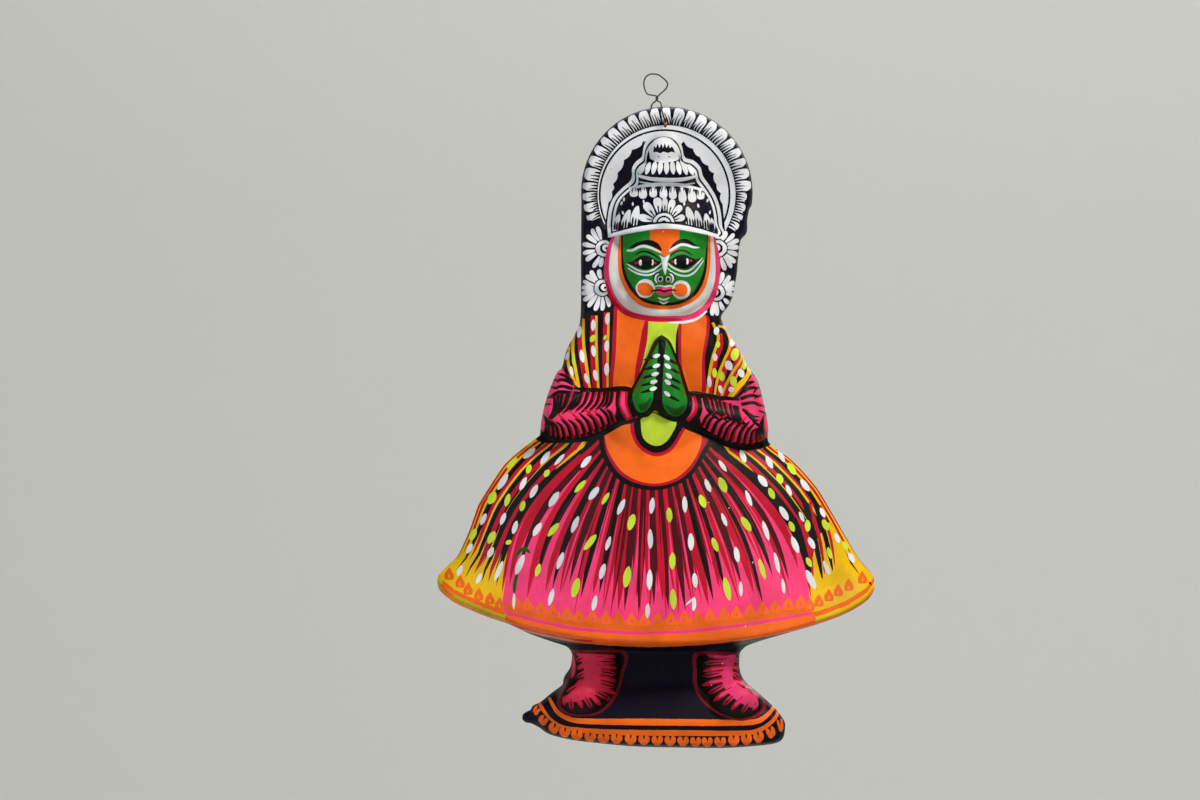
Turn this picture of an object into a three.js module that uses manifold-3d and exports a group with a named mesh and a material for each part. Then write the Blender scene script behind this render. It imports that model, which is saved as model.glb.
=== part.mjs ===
// Moulded papier-mache dancer for the wall, painted in the manner of a chhau mask.
// One hollow, open-backed paper shell hangs from one bent and twisted steel wire.
// Millimetres, +Z up, the front faces -Y, and the back rim lies on the wall plane y = 0.
// The origin is the point where a nail carries the wire loop.

import * as THREE from 'three';
import { mergeVertices } from 'three/addons/utils/BufferGeometryUtils.js';
import Module from 'manifold-3d';

const wasm = await Module();
wasm.setup();

// The figure has its own frame: x from its middle line, z from the bottom of its base.
// "depth" is how far a point stands out from the wall, so that y = -depth.
const nailX = -6;
const nailZ = 410;
const paperWall = 4;
const behindWall = 1;

// Halo behind the crown, and the hair that falls from it
const halo = { x: 2.2, z: 338, radius: 52, rim: 9, step: 2.5, rimDepth: 13, fieldDepth: 10, edge: 3 };
const hair = {
  left: -49.7, right: 51, top: 345, bulgeZ: 318, waistZ: 300, waistX: 46.5, bottom: 258, bottomRight: 36,
  depth: 10, bevel: 2.5, bevelSteps: 2,
};

// Crown: a cap, a rolled tier and a bud, one above the other.
// A dome's "from" is the depth of its middle, and "rise" is how far it comes out from there.
const cap = { x: 1, z: 317, halfWidth: 33.5, halfHeight: 27.5, from: 7, rise: 20 };
const tier = { x: 2, z: 348.5, halfWidth: 20.5, halfHeight: 9.5, from: 8, rise: 16 };
const bud = { x: -0.5, z: 362.5, halfWidth: 10, halfHeight: 11.5, from: 8, rise: 12 };
const crownFlower = { x: 0.5, z: 323, halfWidth: 11, halfHeight: 11, from: 22.5, rise: 7 };
const crownFlowerBoss = { x: 0.5, z: 323, halfWidth: 5, halfHeight: 5, from: 27.5, rise: 4 };
const browBand = {
  left: -32.5, right: 33.5, endZ: 310, middleZ: 315.6, endDepth: 15, middleDepth: 27, thickness: 4.4,
};

// Head, with the rolled beard band that frames the face
const head = { x: -0.3, z: 289.5, halfWidth: 35.4, halfHeight: 31, from: 6, rise: 18 };
const face = { x: 0.8, z: 292, halfWidth: 27, halfHeight: 25, from: 10, rise: 22 };
const beard = {
  left: -31, right: 31, topZ: 311, archZ: 291, bottomZ: 264.8,
  sideDepth: 13.5, chinDepth: 16.5, thickness: 8.4,
};

// Features: "lift" is how far each stands out of the face's own dome, and "spread" is how far
// the left and right ones are from their middle. Each is rooted a little below the skin.
const nose = { x: 0.9, spread: 0, z: 289, halfWidth: 3.6, halfHeight: 8.5, lift: 6.5 };
const nostril = { x: 0.9, spread: 2.9, z: 284.6, halfWidth: 2.6, halfHeight: 2.6, lift: 3.4 };
const lips = { x: 0.8, spread: 0, z: 277.3, halfWidth: 6.4, halfHeight: 2.8, lift: 3 };
const eye = { x: 1.2, spread: 11.3, z: 294.8, halfWidth: 8.8, halfHeight: 4.2, lift: 2.2 };
const cheek = { x: 0.6, spread: 11.6, z: 278, halfWidth: 7, halfHeight: 7, lift: 2.2 };
const featureRoot = 1;

const earFlowerSpots = [[-36.7, 302.8], [-37.2, 278.9], [35.5, 303.3], [34.3, 277.2]];
const earFlower = { radius: 11.5, notch: 0.9, petals: 9, depth: 13.5, bevel: 0.8, bevelSteps: 1 };
const earFlowerBoss = { halfWidth: 5, halfHeight: 5, from: 12, rise: 5 };

// Body
const torso = { depth: 16, bevel: 7, bevelSteps: 3 };
const torsoOutline = [[-47, 270], [-60.5, 231], [-53, 170], [46, 170], [54.5, 230], [33, 270]];
const chest = { x: -2, z: 236, halfWidth: 46, halfHeight: 36, from: 8, rise: 14 };
const belly = { x: -4, z: 191.5, halfWidth: 31, halfHeight: 31, from: 12, rise: 16.5 };

// Arms, joined palms and legs: each joint of a limb is [x, z, depth of its middle, radius].
const leftArm = [[-49.5, 240, 6, 10.5], [-60.6, 200, 14, 12.4], [-18, 208.5, 20, 9]];
const rightArm = [[43, 240, 6, 10.5], [53.6, 197, 14, 12.4], [17, 205.5, 20, 9]];
const leftPalm = [[-7.2, 211.5, 27, 9.6], [-4.8, 226, 28, 7.2], [-1.4, 246.5, 28, 2.6]];
const rightPalm = [[6.2, 210.5, 27, 9.6], [4.6, 226, 28, 7.2], [0.2, 246.5, 28, 2.6]];
const leftLeg = [[-36.5, 68, 10, 14.8], [-38, 42, 10, 15]];
const rightLeg = [[37.5, 68, 10, 13.5], [38.5, 42, 10, 14.2]];
const leftFoot = { x: -45.5, z: 30.2, halfWidth: 15.3, halfHeight: 11.8, from: 12, rise: 15 };
const rightFoot = { x: 48, z: 30, halfWidth: 17.6, halfHeight: 12.2, from: 11, rise: 16 };

// Skirt, as [half width, height at its sides] from the waist to the hem's tips, and its front panel.
// Each level bows down towards the middle, as a round hem seen from the front does.
const skirtSide = [
  [55, 201], [69, 189], [91, 170], [105, 150], [115.2, 129], [123.4, 114], [130.6, 106], [134.1, 100],
];
const skirt = {
  waistX: -4.5, hemX: -1.2, waistDepth: 20, hemDepth: 36, waistBow: 10, hemBow: 36.5, swell: 1, draft: 3,
};
const panelSide = [[46, 200], [112, 90.9]];
const panel = {
  waistX: -2, hemX: -1, waistDepth: 23, hemDepth: 47, waistBow: 10, hemBow: 27.2, swell: 0.9, draft: 6,
};

// The board behind the ankles, and the base. Levels of the base run from its back edge over its
// top to its front edge, and down its front.
const shin = {
  left: -54, right: 50.5, top: 82, ankleZ: 48, bottom: 33, leftFlare: 5, rightFlare: 9.5,
  depth: 13, bevel: 3, bevelSteps: 2,
};
const baseLevels = [
  { left: -56, right: 52, leftZ: 42, rightZ: 42, middleZ: 46, middleDepth: 10, sideDepth: 6 },
  { left: -69, right: 66, leftZ: 28, rightZ: 29, middleZ: 31, middleDepth: 16, sideDepth: 6 },
  { left: -77.5, right: 77.5, leftZ: 21, rightZ: 19, middleZ: 15.5, middleDepth: 21, sideDepth: 6 },
  { left: -70, right: 77.5, leftZ: 9, rightZ: 3.5, middleZ: -1, middleDepth: 18, sideDepth: 5 },
];
const baseCurve = { height: 2.6, depth: 0.7 };
const baseNub = [[-79, 16, 3, 3.3], [-72, 15, 5, 3.3]];

// Wire: each spot is [x, z, depth of its middle]. The loop starts and ends at the twist's top.
const wireDiameter = 0.9;
const wireLoop = [
  [-7, 397.4, 1.7], [-10.8, 398.6, 1.3], [-12.6, 404, 1.2], [-11.8, 408, 1.2], [-9.2, 410.2, 1.2],
  [-6.2, 410.45, 1.2], [-3, 409.6, 1.2], [1.6, 405.6, 1.2], [1.2, 402, 1.2], [-2.4, 398.4, 1.6],
];
// It comes down in front of the rim, goes back through the hole and up behind the rim.
const wireStirrup = [
  [-2.6, 392.9, 6.4], [-1.9, 391.2, 10.2], [-1.9, 388.6, 13.4], [-0.8, 385, 14], [0.5, 381.2, 13.6],
  [0.8, 380.2, 11.6], [0.8, 380.2, 6.5], [-0.4, 380.8, 3.2], [-4.6, 382.6, 1.8], [-7.3, 385.4, 1.1],
  [-7.8, 388, 1.1], [-7.8, 391, 1.1], [-6.6, 392.8, 1.7],
];
const twist = { bottom: [-4.7, 393.8, 3.2], top: [-4.4, 397, 1.9], offset: 0.52, turns: 1, steps: 6 };
const wireHole = { x: 0.8, z: 380.2, diameter: 2, length: 40 };
const rimNotch = { x: -7.3, z: 388, width: 3.2, height: 9, depth: 2.1 };

// How finely each kind of form is faceted. The hidden hollow inside is coarser.
const domeSides = 20;
const smallDomeSides = 16;
const featureSides = 10;
const limbSides = 10;
const capSteps = 3;
const inside = { domeSides: 10, limbSides: 6 };

const colours = { paint: 0xd8443f, steel: 0x4a443e };

// Solids from geometries, and back

function toSolid(geometry) {
  geometry.deleteAttribute('normal');
  geometry.deleteAttribute('uv');
  const welded = mergeVertices(geometry, 1e-4);
  return new wasm.Manifold(new wasm.Mesh({
    numProp: 3,
    vertProperties: new Float32Array(welded.attributes.position.array),
    triVerts: new Uint32Array(welded.index.array),
  }));
}

function toGeometry(solid) {
  const mesh = solid.getMesh();
  const geometry = new THREE.BufferGeometry();
  geometry.setAttribute('position', new THREE.BufferAttribute(mesh.vertProperties, mesh.numProp));
  geometry.setIndex(new THREE.BufferAttribute(mesh.triVerts, 1));
  geometry.computeVertexNormals();
  return geometry;
}

function joined(solids) {
  return solids.reduce((whole, solid) => whole.add(solid));
}

const { lerp } = THREE.MathUtils;
const quarter = Math.PI / 2;

// Basic forms. "inset" makes the same form smaller by a wall, for the hollow inside.

function dome(form, inset = 0, sides = domeSides) {
  const around = inset > 0 ? inside.domeSides : sides;
  const geometry = new THREE.SphereGeometry(1, around, around / 2);
  geometry.scale(form.halfWidth - inset, form.rise - inset, form.halfHeight - inset);
  geometry.translate(form.x, -form.from, form.z);
  return toSolid(geometry);
}

function plate(outline, form, inset = 0) {
  const geometry = new THREE.ExtrudeGeometry(outline, {
    depth: form.depth - inset - form.bevel + behindWall,
    bevelThickness: form.bevel,
    bevelSize: form.bevel,
    bevelOffset: -form.bevel - inset,
    bevelSegments: inset > 0 ? 1 : form.bevelSteps,
    curveSegments: 6,
  });
  geometry.rotateX(quarter);
  geometry.translate(0, behindWall, 0);
  return toSolid(geometry);
}

function outlineOf(spots) {
  return new THREE.Shape(spots.map(([x, z]) => new THREE.Vector2(x, z)));
}

// A rod between two joints. It is round at "to", and at "from" too where it is the limb's first.
// Otherwise its start is hidden in the round end of the rod before it, a little narrower.
function taperedRod([x0, z0, d0, r0], [x1, z1, d1, r1], inset, isFirst) {
  const from = new THREE.Vector3(x0, -d0, z0);
  const to = new THREE.Vector3(x1, -d1, z1);
  const length = from.distanceTo(to);
  const start = isFirst ? r0 - inset : (r0 - inset) * 0.9;
  const end = r1 - inset;
  const profile = [new THREE.Vector2(0, isFirst ? -start : 0)];
  for (let i = isFirst ? 1 : capSteps; i <= capSteps; i += 1) {
    const turn = (i / capSteps) * quarter;
    profile.push(new THREE.Vector2(start * Math.sin(turn), -start * Math.cos(turn)));
  }
  for (let i = 0; i < capSteps; i += 1) {
    const turn = (i / capSteps) * quarter;
    profile.push(new THREE.Vector2(end * Math.cos(turn), length + end * Math.sin(turn)));
  }
  profile.push(new THREE.Vector2(0, length + end));
  const geometry = new THREE.LatheGeometry(profile, inset > 0 ? inside.limbSides : limbSides);
  const along = to.clone().sub(from).normalize();
  geometry.applyQuaternion(new THREE.Quaternion().setFromUnitVectors(new THREE.Vector3(0, 1, 0), along));
  geometry.translate(from.x, from.y, from.z);
  return toSolid(geometry);
}

function limb(joints, inset = 0) {
  const rods = [];
  for (let i = 1; i < joints.length; i += 1) {
    rods.push(taperedRod(joints[i - 1], joints[i], inset, i === 1));
  }
  return joined(rods);
}

function roll(spots, thickness, steps, sides) {
  const section = new THREE.Shape();
  section.absellipse(0, 0, thickness / 2, thickness / 2, 0, Math.PI * 2);
  const path = new THREE.CatmullRomCurve3(spots.map(([x, z, depth]) => new THREE.Vector3(x, -depth, z)));
  return toSolid(new THREE.ExtrudeGeometry(section, { steps, extrudePath: path, curveSegments: sides / 2 }));
}

// A block whose front is bent to a surface, while its back stays flat behind the wall plane.
// Its lowest row leans down by "draft" on its way back, as a form that leaves its mould must.
function reliefBlock(columns, rows, surface, draft = 0) {
  const geometry = new THREE.BoxGeometry(1, 1, 1, columns, rows, 1);
  const spots = geometry.attributes.position;
  for (let i = 0; i < spots.count; i += 1) {
    const across = spots.getX(i) + 0.5;
    const down = 0.5 - spots.getY(i);
    const { x, z, depth } = surface(across, down);
    if (spots.getZ(i) > 0) {
      spots.setXYZ(i, x, -depth, z);
    } else {
      spots.setXYZ(i, x, behindWall, z - (down < 1 ? 0 : draft * Math.sin(Math.PI * across)));
    }
  }
  return toSolid(geometry);
}

// Sub-parts of the paper shell

function haloSolid(inset = 0) {
  const outer = halo.radius - inset;
  const rimInner = halo.radius - halo.rim + inset;
  const rimFront = halo.rimDepth - inset;
  const fieldFront = halo.fieldDepth - inset;
  const profile = [new THREE.Vector2(0, -behindWall), new THREE.Vector2(outer, -behindWall)];
  for (const turn of [0, quarter / 2, quarter]) {
    const round = new THREE.Vector2(halo.edge * Math.cos(turn), halo.edge * Math.sin(turn));
    profile.push(new THREE.Vector2(outer - halo.edge, rimFront - halo.edge).add(round));
  }
  profile.push(new THREE.Vector2(rimInner + halo.step / 2, rimFront));
  profile.push(new THREE.Vector2(rimInner - halo.step / 2, fieldFront));
  profile.push(new THREE.Vector2(0, fieldFront));
  const geometry = new THREE.LatheGeometry(profile, inset > 0 ? 20 : 36);
  geometry.rotateX(Math.PI);
  geometry.translate(halo.x, 0, halo.z);
  return toSolid(geometry);
}

function hairSolid(inset = 0) {
  const outline = new THREE.Shape();
  outline.moveTo(hair.left, hair.bottom);
  outline.lineTo(hair.bottomRight, hair.bottom);
  outline.quadraticCurveTo(hair.waistX - 1.5, (hair.bottom + hair.waistZ) / 2, hair.waistX, hair.waistZ);
  outline.lineTo(hair.right, hair.bulgeZ);
  outline.lineTo(hair.right, hair.top);
  outline.lineTo(hair.left, hair.top);
  outline.closePath();
  return plate(outline, hair, inset);
}

// A flower is a low plate with notched petals and a round boss in its middle.
function earFlowerSolid([x, z]) {
  const spots = [];
  const steps = earFlower.petals * 2;
  for (let i = 0; i < steps; i += 1) {
    const turn = (i / steps) * Math.PI * 2;
    const reach = earFlower.radius * (i % 2 === 0 ? 1 : earFlower.notch);
    spots.push([x + reach * Math.sin(turn), z + reach * Math.cos(turn)]);
  }
  return plate(outlineOf(spots), earFlower).add(dome({ ...earFlowerBoss, x, z }, 0, featureSides));
}

// The band round the brow is highest, and furthest out, over the nose.
function browBandSolid() {
  const spots = [];
  const steps = 8;
  for (let i = 0; i <= steps; i += 1) {
    const part = i / steps;
    const swell = Math.sin(part * Math.PI);
    spots.push([
      lerp(browBand.left, browBand.right, part),
      lerp(browBand.endZ, browBand.middleZ, swell),
      lerp(browBand.endDepth, browBand.middleDepth, swell ** 0.7),
    ]);
  }
  return roll(spots, browBand.thickness, steps, 6);
}

// The rolled band runs down one side of the face, round the chin and up the other side.
function beardSolid() {
  const middle = (beard.left + beard.right) / 2;
  const half = (beard.right - beard.left) / 2;
  const spots = [[beard.right, beard.topZ, beard.sideDepth]];
  const steps = 12;
  for (let i = 0; i <= steps; i += 1) {
    const turn = (i / steps) * Math.PI;
    const low = Math.sin(turn);
    spots.push([
      middle + half * Math.cos(turn),
      lerp(beard.archZ, beard.bottomZ, low),
      lerp(beard.sideDepth, beard.chinDepth, low ** 2),
    ]);
  }
  spots.push([beard.left, beard.topZ, beard.sideDepth]);
  return roll(spots, beard.thickness, 16, 8);
}

// Depth of the face's own dome at a point, so that features sit on its skin.
function faceSkin(x, z) {
  const out = ((x - face.x) / face.halfWidth) ** 2 + ((z - face.z) / face.halfHeight) ** 2;
  return face.from + face.rise * Math.sqrt(Math.max(0, 1 - out));
}

function feature(form, side = 0) {
  const x = form.x + side * form.spread;
  const skin = faceSkin(x, form.z);
  return dome({ ...form, x, from: skin - featureRoot, rise: form.lift + featureRoot }, 0, featureSides);
}

function faceSolids() {
  const solids = [dome(head), dome(face), beardSolid(), feature(nose), feature(lips)];
  for (const side of [-1, 1]) {
    solids.push(feature(eye, side), feature(cheek, side), feature(nostril, side));
  }
  return solids;
}

// The skirt and its front panel are bells, bowed in front and open behind.
function bellSolid(side, form, columns, rows, inset = 0) {
  const edge = new THREE.SplineCurve(side.map(([half, z]) => new THREE.Vector2(half, z)));
  const surface = (across, down) => {
    const turn = Math.PI * (1 - across);
    const level = edge.getPoint(down);
    const depth = lerp(form.waistDepth, form.hemDepth, down ** form.swell) - inset;
    const bow = lerp(form.waistBow, form.hemBow, down) - inset * down;
    return {
      x: lerp(form.waistX, form.hemX, down) + (level.x - inset) * Math.cos(turn),
      z: level.y - bow * Math.sin(turn) - inset * (1 - down),
      depth: depth * Math.sin(turn),
    };
  };
  return reliefBlock(columns, rows, surface, form.draft);
}

function shinSolid(inset = 0) {
  return plate(outlineOf([
    [shin.left, shin.top],
    [shin.left, shin.ankleZ],
    [shin.left - shin.leftFlare, shin.bottom],
    [shin.right + shin.rightFlare, shin.bottom],
    [shin.right, shin.ankleZ],
    [shin.right, shin.top],
  ]), shin, inset);
}

// A size of the base somewhere between its levels.
function baseSize(name, down) {
  const place = down * (baseLevels.length - 1);
  const upper = Math.min(Math.floor(place), baseLevels.length - 2);
  return lerp(baseLevels[upper][name], baseLevels[upper + 1][name], place - upper);
}

function baseSolid(inset = 0) {
  const surface = (across, down) => {
    const turn = (2 * across - 1) * quarter;
    const sideZ = baseSize(turn < 0 ? 'leftZ' : 'rightZ', down);
    const outward = Math.abs(Math.sin(turn)) ** baseCurve.height;
    const inward = Math.cos(turn) ** baseCurve.depth;
    return {
      x: lerp(baseSize('left', down) + inset, baseSize('right', down) - inset, (1 + Math.sin(turn)) / 2),
      z: lerp(baseSize('middleZ', down), sideZ, outward) + inset * (2 * down - 1),
      depth: lerp(baseSize('sideDepth', down), baseSize('middleDepth', down), inward) - inset,
    };
  };
  return inset > 0 ? reliefBlock(10, 3, surface) : reliefBlock(14, 6, surface);
}

function outerForms() {
  return [
    haloSolid(),
    hairSolid(),
    ...earFlowerSpots.map(earFlowerSolid),
    dome(cap),
    dome(tier, 0, smallDomeSides),
    dome(bud, 0, smallDomeSides),
    browBandSolid(),
    dome(crownFlower, 0, smallDomeSides),
    dome(crownFlowerBoss, 0, featureSides),
    ...faceSolids(),
    plate(outlineOf(torsoOutline), torso),
    dome(chest, 0, smallDomeSides),
    dome(belly, 0, smallDomeSides),
    limb(leftArm),
    limb(rightArm),
    limb(leftPalm),
    limb(rightPalm),
    bellSolid(skirtSide, skirt, 18, 7),
    bellSolid(panelSide, panel, 16, 5),
    shinSolid(),
    limb(leftLeg),
    limb(rightLeg),
    dome(leftFoot, 0, smallDomeSides),
    dome(rightFoot, 0, smallDomeSides),
    baseSolid(),
    limb(baseNub),
  ];
}

// Small features are solid paper pulp. Everything larger is hollow from behind.
function innerForms() {
  return [
    haloSolid(paperWall),
    hairSolid(paperWall),
    ...[cap, tier, head, face, chest, belly, leftFoot, rightFoot].map((form) => dome(form, paperWall)),
    plate(outlineOf(torsoOutline), torso, paperWall),
    ...[leftArm, rightArm, leftLeg, rightLeg].map((joints) => limb(joints, paperWall)),
    bellSolid(skirtSide, skirt, 10, 4, paperWall),
    bellSolid(panelSide, panel, 10, 3, paperWall),
    shinSolid(paperWall),
    baseSolid(paperWall),
  ];
}

function behindWallSolid() {
  const geometry = new THREE.BoxGeometry(400, 100, 900);
  geometry.translate(0, 50, 200);
  return toSolid(geometry);
}

function wireHoleSolid() {
  const radius = wireHole.diameter / 2;
  const geometry = new THREE.CylinderGeometry(radius, radius, wireHole.length, 12);
  geometry.translate(wireHole.x, 0, wireHole.z);
  return toSolid(geometry);
}

// The notch lets the wire pass behind the rim without holding the figure off the wall.
function rimNotchSolid() {
  const geometry = new THREE.BoxGeometry(rimNotch.width, 2 * rimNotch.depth, rimNotch.height);
  geometry.translate(rimNotch.x, 0, rimNotch.z);
  return toSolid(geometry);
}

function figureSolid() {
  return joined(outerForms())
    .subtract(joined(innerForms()))
    .subtract(behindWallSolid())
    .subtract(wireHoleSolid())
    .subtract(rimNotchSolid());
}

// The wire

// One strand of the twist, as spots from its lower to its upper end.
function twistStrand(startTurn) {
  const spots = [];
  for (let i = 0; i <= twist.steps; i += 1) {
    const part = i / twist.steps;
    const turn = startTurn + part * twist.turns * Math.PI * 2;
    spots.push([
      lerp(twist.bottom[0], twist.top[0], part) + twist.offset * Math.cos(turn),
      lerp(twist.bottom[1], twist.top[1], part),
      lerp(twist.bottom[2], twist.top[2], part) + twist.offset * Math.sin(turn),
    ]);
  }
  return spots;
}

function wireSolid() {
  const upStrand = twistStrand(Math.PI);
  const downStrand = twistStrand(0).reverse();
  const sides = 6;
  return joined([
    roll([...upStrand, ...wireLoop, ...downStrand], wireDiameter, 50, sides),
    roll([downStrand[twist.steps], ...wireStirrup, upStrand[0]], wireDiameter, 34, sides),
  ]);
}

function named(name, solid, material) {
  const mesh = new THREE.Mesh(toGeometry(solid), new THREE.MeshStandardMaterial(material));
  mesh.name = name;
  return mesh;
}

const hangingFigure = new THREE.Group();
hangingFigure.add(
  named('papier-mache_figure', figureSolid(), { color: colours.paint, roughness: 0.6, metalness: 0 }),
  named('hanging_wire', wireSolid(), { color: colours.steel, roughness: 0.5, metalness: 1 }),
);
hangingFigure.position.set(-nailX, 0, -nailZ);

export default hangingFigure;
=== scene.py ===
import math
import random

import bmesh
import bpy
import numpy as np
from mathutils import Matrix, Vector, geometry, noise
from mathutils.bvhtree import BVHTree
from mathutils.kdtree import KDTree


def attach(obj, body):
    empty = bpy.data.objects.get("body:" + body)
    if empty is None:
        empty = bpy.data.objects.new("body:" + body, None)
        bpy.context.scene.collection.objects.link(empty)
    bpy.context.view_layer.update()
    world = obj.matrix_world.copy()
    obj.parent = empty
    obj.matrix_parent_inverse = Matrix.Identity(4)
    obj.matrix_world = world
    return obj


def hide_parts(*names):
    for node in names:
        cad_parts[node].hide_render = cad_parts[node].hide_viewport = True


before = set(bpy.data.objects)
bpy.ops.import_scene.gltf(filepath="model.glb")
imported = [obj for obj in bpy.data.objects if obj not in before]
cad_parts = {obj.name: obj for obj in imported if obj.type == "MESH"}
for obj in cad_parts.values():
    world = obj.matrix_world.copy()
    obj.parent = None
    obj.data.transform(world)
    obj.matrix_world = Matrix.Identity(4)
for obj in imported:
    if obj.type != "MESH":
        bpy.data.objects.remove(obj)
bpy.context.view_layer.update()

# The figure is worked out in millimetres in its own upright frame: x from the middle line,
# z from the bottom of the base, depth out of the wall. The nail is where the scene's origin is.
nail = dict(x=-6, z=410)


def toScene(x, depth, z):
    return ((x - nail["x"]) / 1000, -depth / 1000, (z - nail["z"]) / 1000)


def toLinear(hexColour):
    channels = [int(hexColour[i:i + 2], 16) / 255 for i in (1, 3, 5)]
    return [c / 12.92 if c <= 0.04045 else ((c + 0.055) / 1.055) ** 2.4 for c in channels] + [1.0]


# Camera, room and light

bpy.context.scene.view_settings.view_transform = "Standard"
camera = dict(distance=2.755, aimX=-0.0311, aimZ=-0.1994, lens=135, roll=-0.69)
cameraData = bpy.data.cameras.new("camera")
cameraData.lens = camera["lens"]
cameraData.sensor_width = 36
cameraData.clip_end = 30
cameraObject = bpy.data.objects.new("camera", cameraData)
cameraObject.location = (camera["aimX"], -camera["distance"], camera["aimZ"])
cameraObject.rotation_euler = (math.radians(90), math.radians(camera["roll"]), 0)
bpy.context.scene.collection.objects.link(cameraObject)
bpy.context.scene.camera = cameraObject

room = dict(radius=4.2, floor=-1.3, height=3.4, corner=1.4, colour="#C6C7C4")


def makeRoom():
    bm = bmesh.new()
    spots = [(0.0, room["floor"])]
    for i in range(13):
        turn = math.radians(90 * i / 12)
        spots.append((room["radius"] - room["corner"] * (1 - math.sin(turn)),
                      room["floor"] + room["corner"] * (1 - math.cos(turn))))
    spots.append((room["radius"], room["floor"] + room["height"]))
    verts = [bm.verts.new((x, 0, z)) for x, z in spots]
    edges = [bm.edges.new(pair) for pair in zip(verts, verts[1:])]
    bmesh.ops.spin(bm, geom=verts + edges, axis=(0, 0, 1), cent=(0, 0, 0), angle=math.tau, steps=96,
                   use_merge=True)
    bmesh.ops.remove_doubles(bm, verts=bm.verts, dist=1e-4)
    bmesh.ops.recalc_face_normals(bm, faces=bm.faces)
    mesh = bpy.data.meshes.new("round_studio")
    bm.to_mesh(mesh)
    bm.free()
    mesh.shade_smooth()
    material = bpy.data.materials.new("matt studio paint")
    material.use_nodes = True
    shader = material.node_tree.nodes["Principled BSDF"]
    shader.inputs["Base Color"].default_value = toLinear(room["colour"])
    shader.inputs["Roughness"].default_value = 0.9
    mesh.materials.append(material)
    studio = bpy.data.objects.new("round_studio", mesh)
    bpy.context.scene.collection.objects.link(studio)


# Place, size, watts, colour and what it aims at
lights = dict(
    key=((1.5, -1.7, 1.9), 0.8, 84, "#FFF8EE", (0, 0, -0.2)),
    fill=((-1.9, -2.0, 0.5), 1.8, 24, "#EEF3FF", (0, 0, -0.2)),
    top=((0.2, 0.6, 2.0), 1.6, 22, "#FFFFFF", (0, 0, -0.2)),
    behind=((0.4, 2.2, 0.9), 1.8, 30, "#FFFFFF", (0, 0, -0.2)),
    backdrop=((0.6, 1.9, 1.9), 2.4, 58, "#FFFFFF", (0, 4.2, -0.1)),
)


def addLights():
    for name, (place, size, watts, colour, aimAt) in lights.items():
        data = bpy.data.lights.new(name, "AREA")
        data.shape = "DISK"
        data.size = size
        data.energy = watts
        data.color = toLinear(colour)[:3]
        light = bpy.data.objects.new(name, data)
        light.location = place
        light.rotation_euler = (Vector(aimAt) - Vector(place)).to_track_quat("-Z", "Y").to_euler()
        light.visible_camera = False
        bpy.context.scene.collection.objects.link(light)


makeRoom()
addLights()
print("room ready")

# The moulded form, as plain round shapes that the paper is then laid over.
# A dome has its middle, half width and height, where it starts out of the wall and how far it rises.
dome = dict(
    cap=(1, 317, 33.5, 27.5, 7, 20), tier=(2, 348.5, 20.5, 9.5, 8, 16), bud=(-0.5, 362.5, 10, 11.5, 8, 12),
    crownFlower=(0.5, 323, 11, 11, 22.5, 7), crownFlowerBoss=(0.5, 320, 4.5, 4.5, 27, 3.6),
    head=(-0.3, 289.5, 35.4, 31, 6, 18), face=(0.8, 292, 27, 25, 10, 22),
    chest=(-2, 236, 46, 36, 8, 14), belly=(-4, 191.5, 31, 31, 12, 16.5),
    leftFoot=(-45.5, 30.2, 15.3, 11.8, 12, 15), rightFoot=(48, 30, 17.6, 12.2, 11, 16),
)
feature = dict(  # the same on the face's skin, with how far each stands out of it
    nose=(0.9, 290, 3.5, 9, 5.6), noseTip=(0.9, 285.4, 3.1, 3.6, 6.4),
    leftNostril=(-2.2, 284.6, 2.5, 2.4, 3.6), rightNostril=(3.9, 284.6, 2.5, 2.4, 3.6),
    lips=(0.8, 277.3, 6.4, 2.9, 3), leftEye=(-10.1, 294.8, 8.8, 4.2, 2.2),
    rightEye=(12.5, 294.8, 8.8, 4.2, 2.2), leftCheek=(-11, 278.3, 7, 7, 2.2),
    rightCheek=(12.2, 278, 7, 7, 2.2),
)
limb = dict(  # joints: x, z, depth and radius
    leftArm=[(-49.5, 240, 6, 10.5), (-60.6, 200, 14, 12.4), (-18, 208.5, 20, 9)],
    rightArm=[(43, 240, 6, 10.5), (53.6, 197, 14, 12.4), (17, 205.5, 20, 9)],
    leftPalm=[(-7.2, 211.5, 27, 9.6), (-4.8, 226, 28, 7.2), (-1.4, 246.5, 28, 2.6)],
    rightPalm=[(6.2, 210.5, 27, 9.6), (4.6, 226, 28, 7.2), (0.2, 246.5, 28, 2.6)],
    leftLeg=[(-36.5, 68, 10, 14.8), (-38, 42, 10, 15)],
    rightLeg=[(37.5, 68, 10, 13.5), (38.5, 42, 10, 14.2)],
    baseNub=[(-79, 16, 3, 3.3), (-72, 15, 5, 3.3)],
)
earFlowers = dict(spots=[(-36.7, 302.8), (-37.2, 278.9), (35.5, 303.3), (34.3, 277.2)], radius=12, depth=12.6,
                  boss=4.5, bossRise=4.4)
halo = dict(x=2.2, z=338, radius=52.4, ringInner=43, rimDepth=13, fieldDepth=10)
beard = dict(halfWidth=31, topZ=311, archZ=291, bottomZ=264.8, sideDepth=13.5, chinDepth=16.5, radius=4.2)
browBand = dict(left=-32.5, right=33.5, endZ=310, middleZ=315.6, endDepth=15, middleDepth=27, radius=2.1)
torso = dict(outline=[(-47, 270), (-60.5, 231), (-53, 170), (46, 170), (54.5, 230), (33, 270)], depth=16,
             bevel=7)
hair = dict(outline=[(-49.7, 258), (36, 258), (44, 280), (46.5, 300), (51, 318), (51, 345), (-49.7, 345)],
            depth=10, bevel=2.5)
shin = dict(outline=[(-54, 82), (-54, 48), (-59, 33), (60, 33), (50.5, 48), (50.5, 82)], depth=13, bevel=3)
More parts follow.
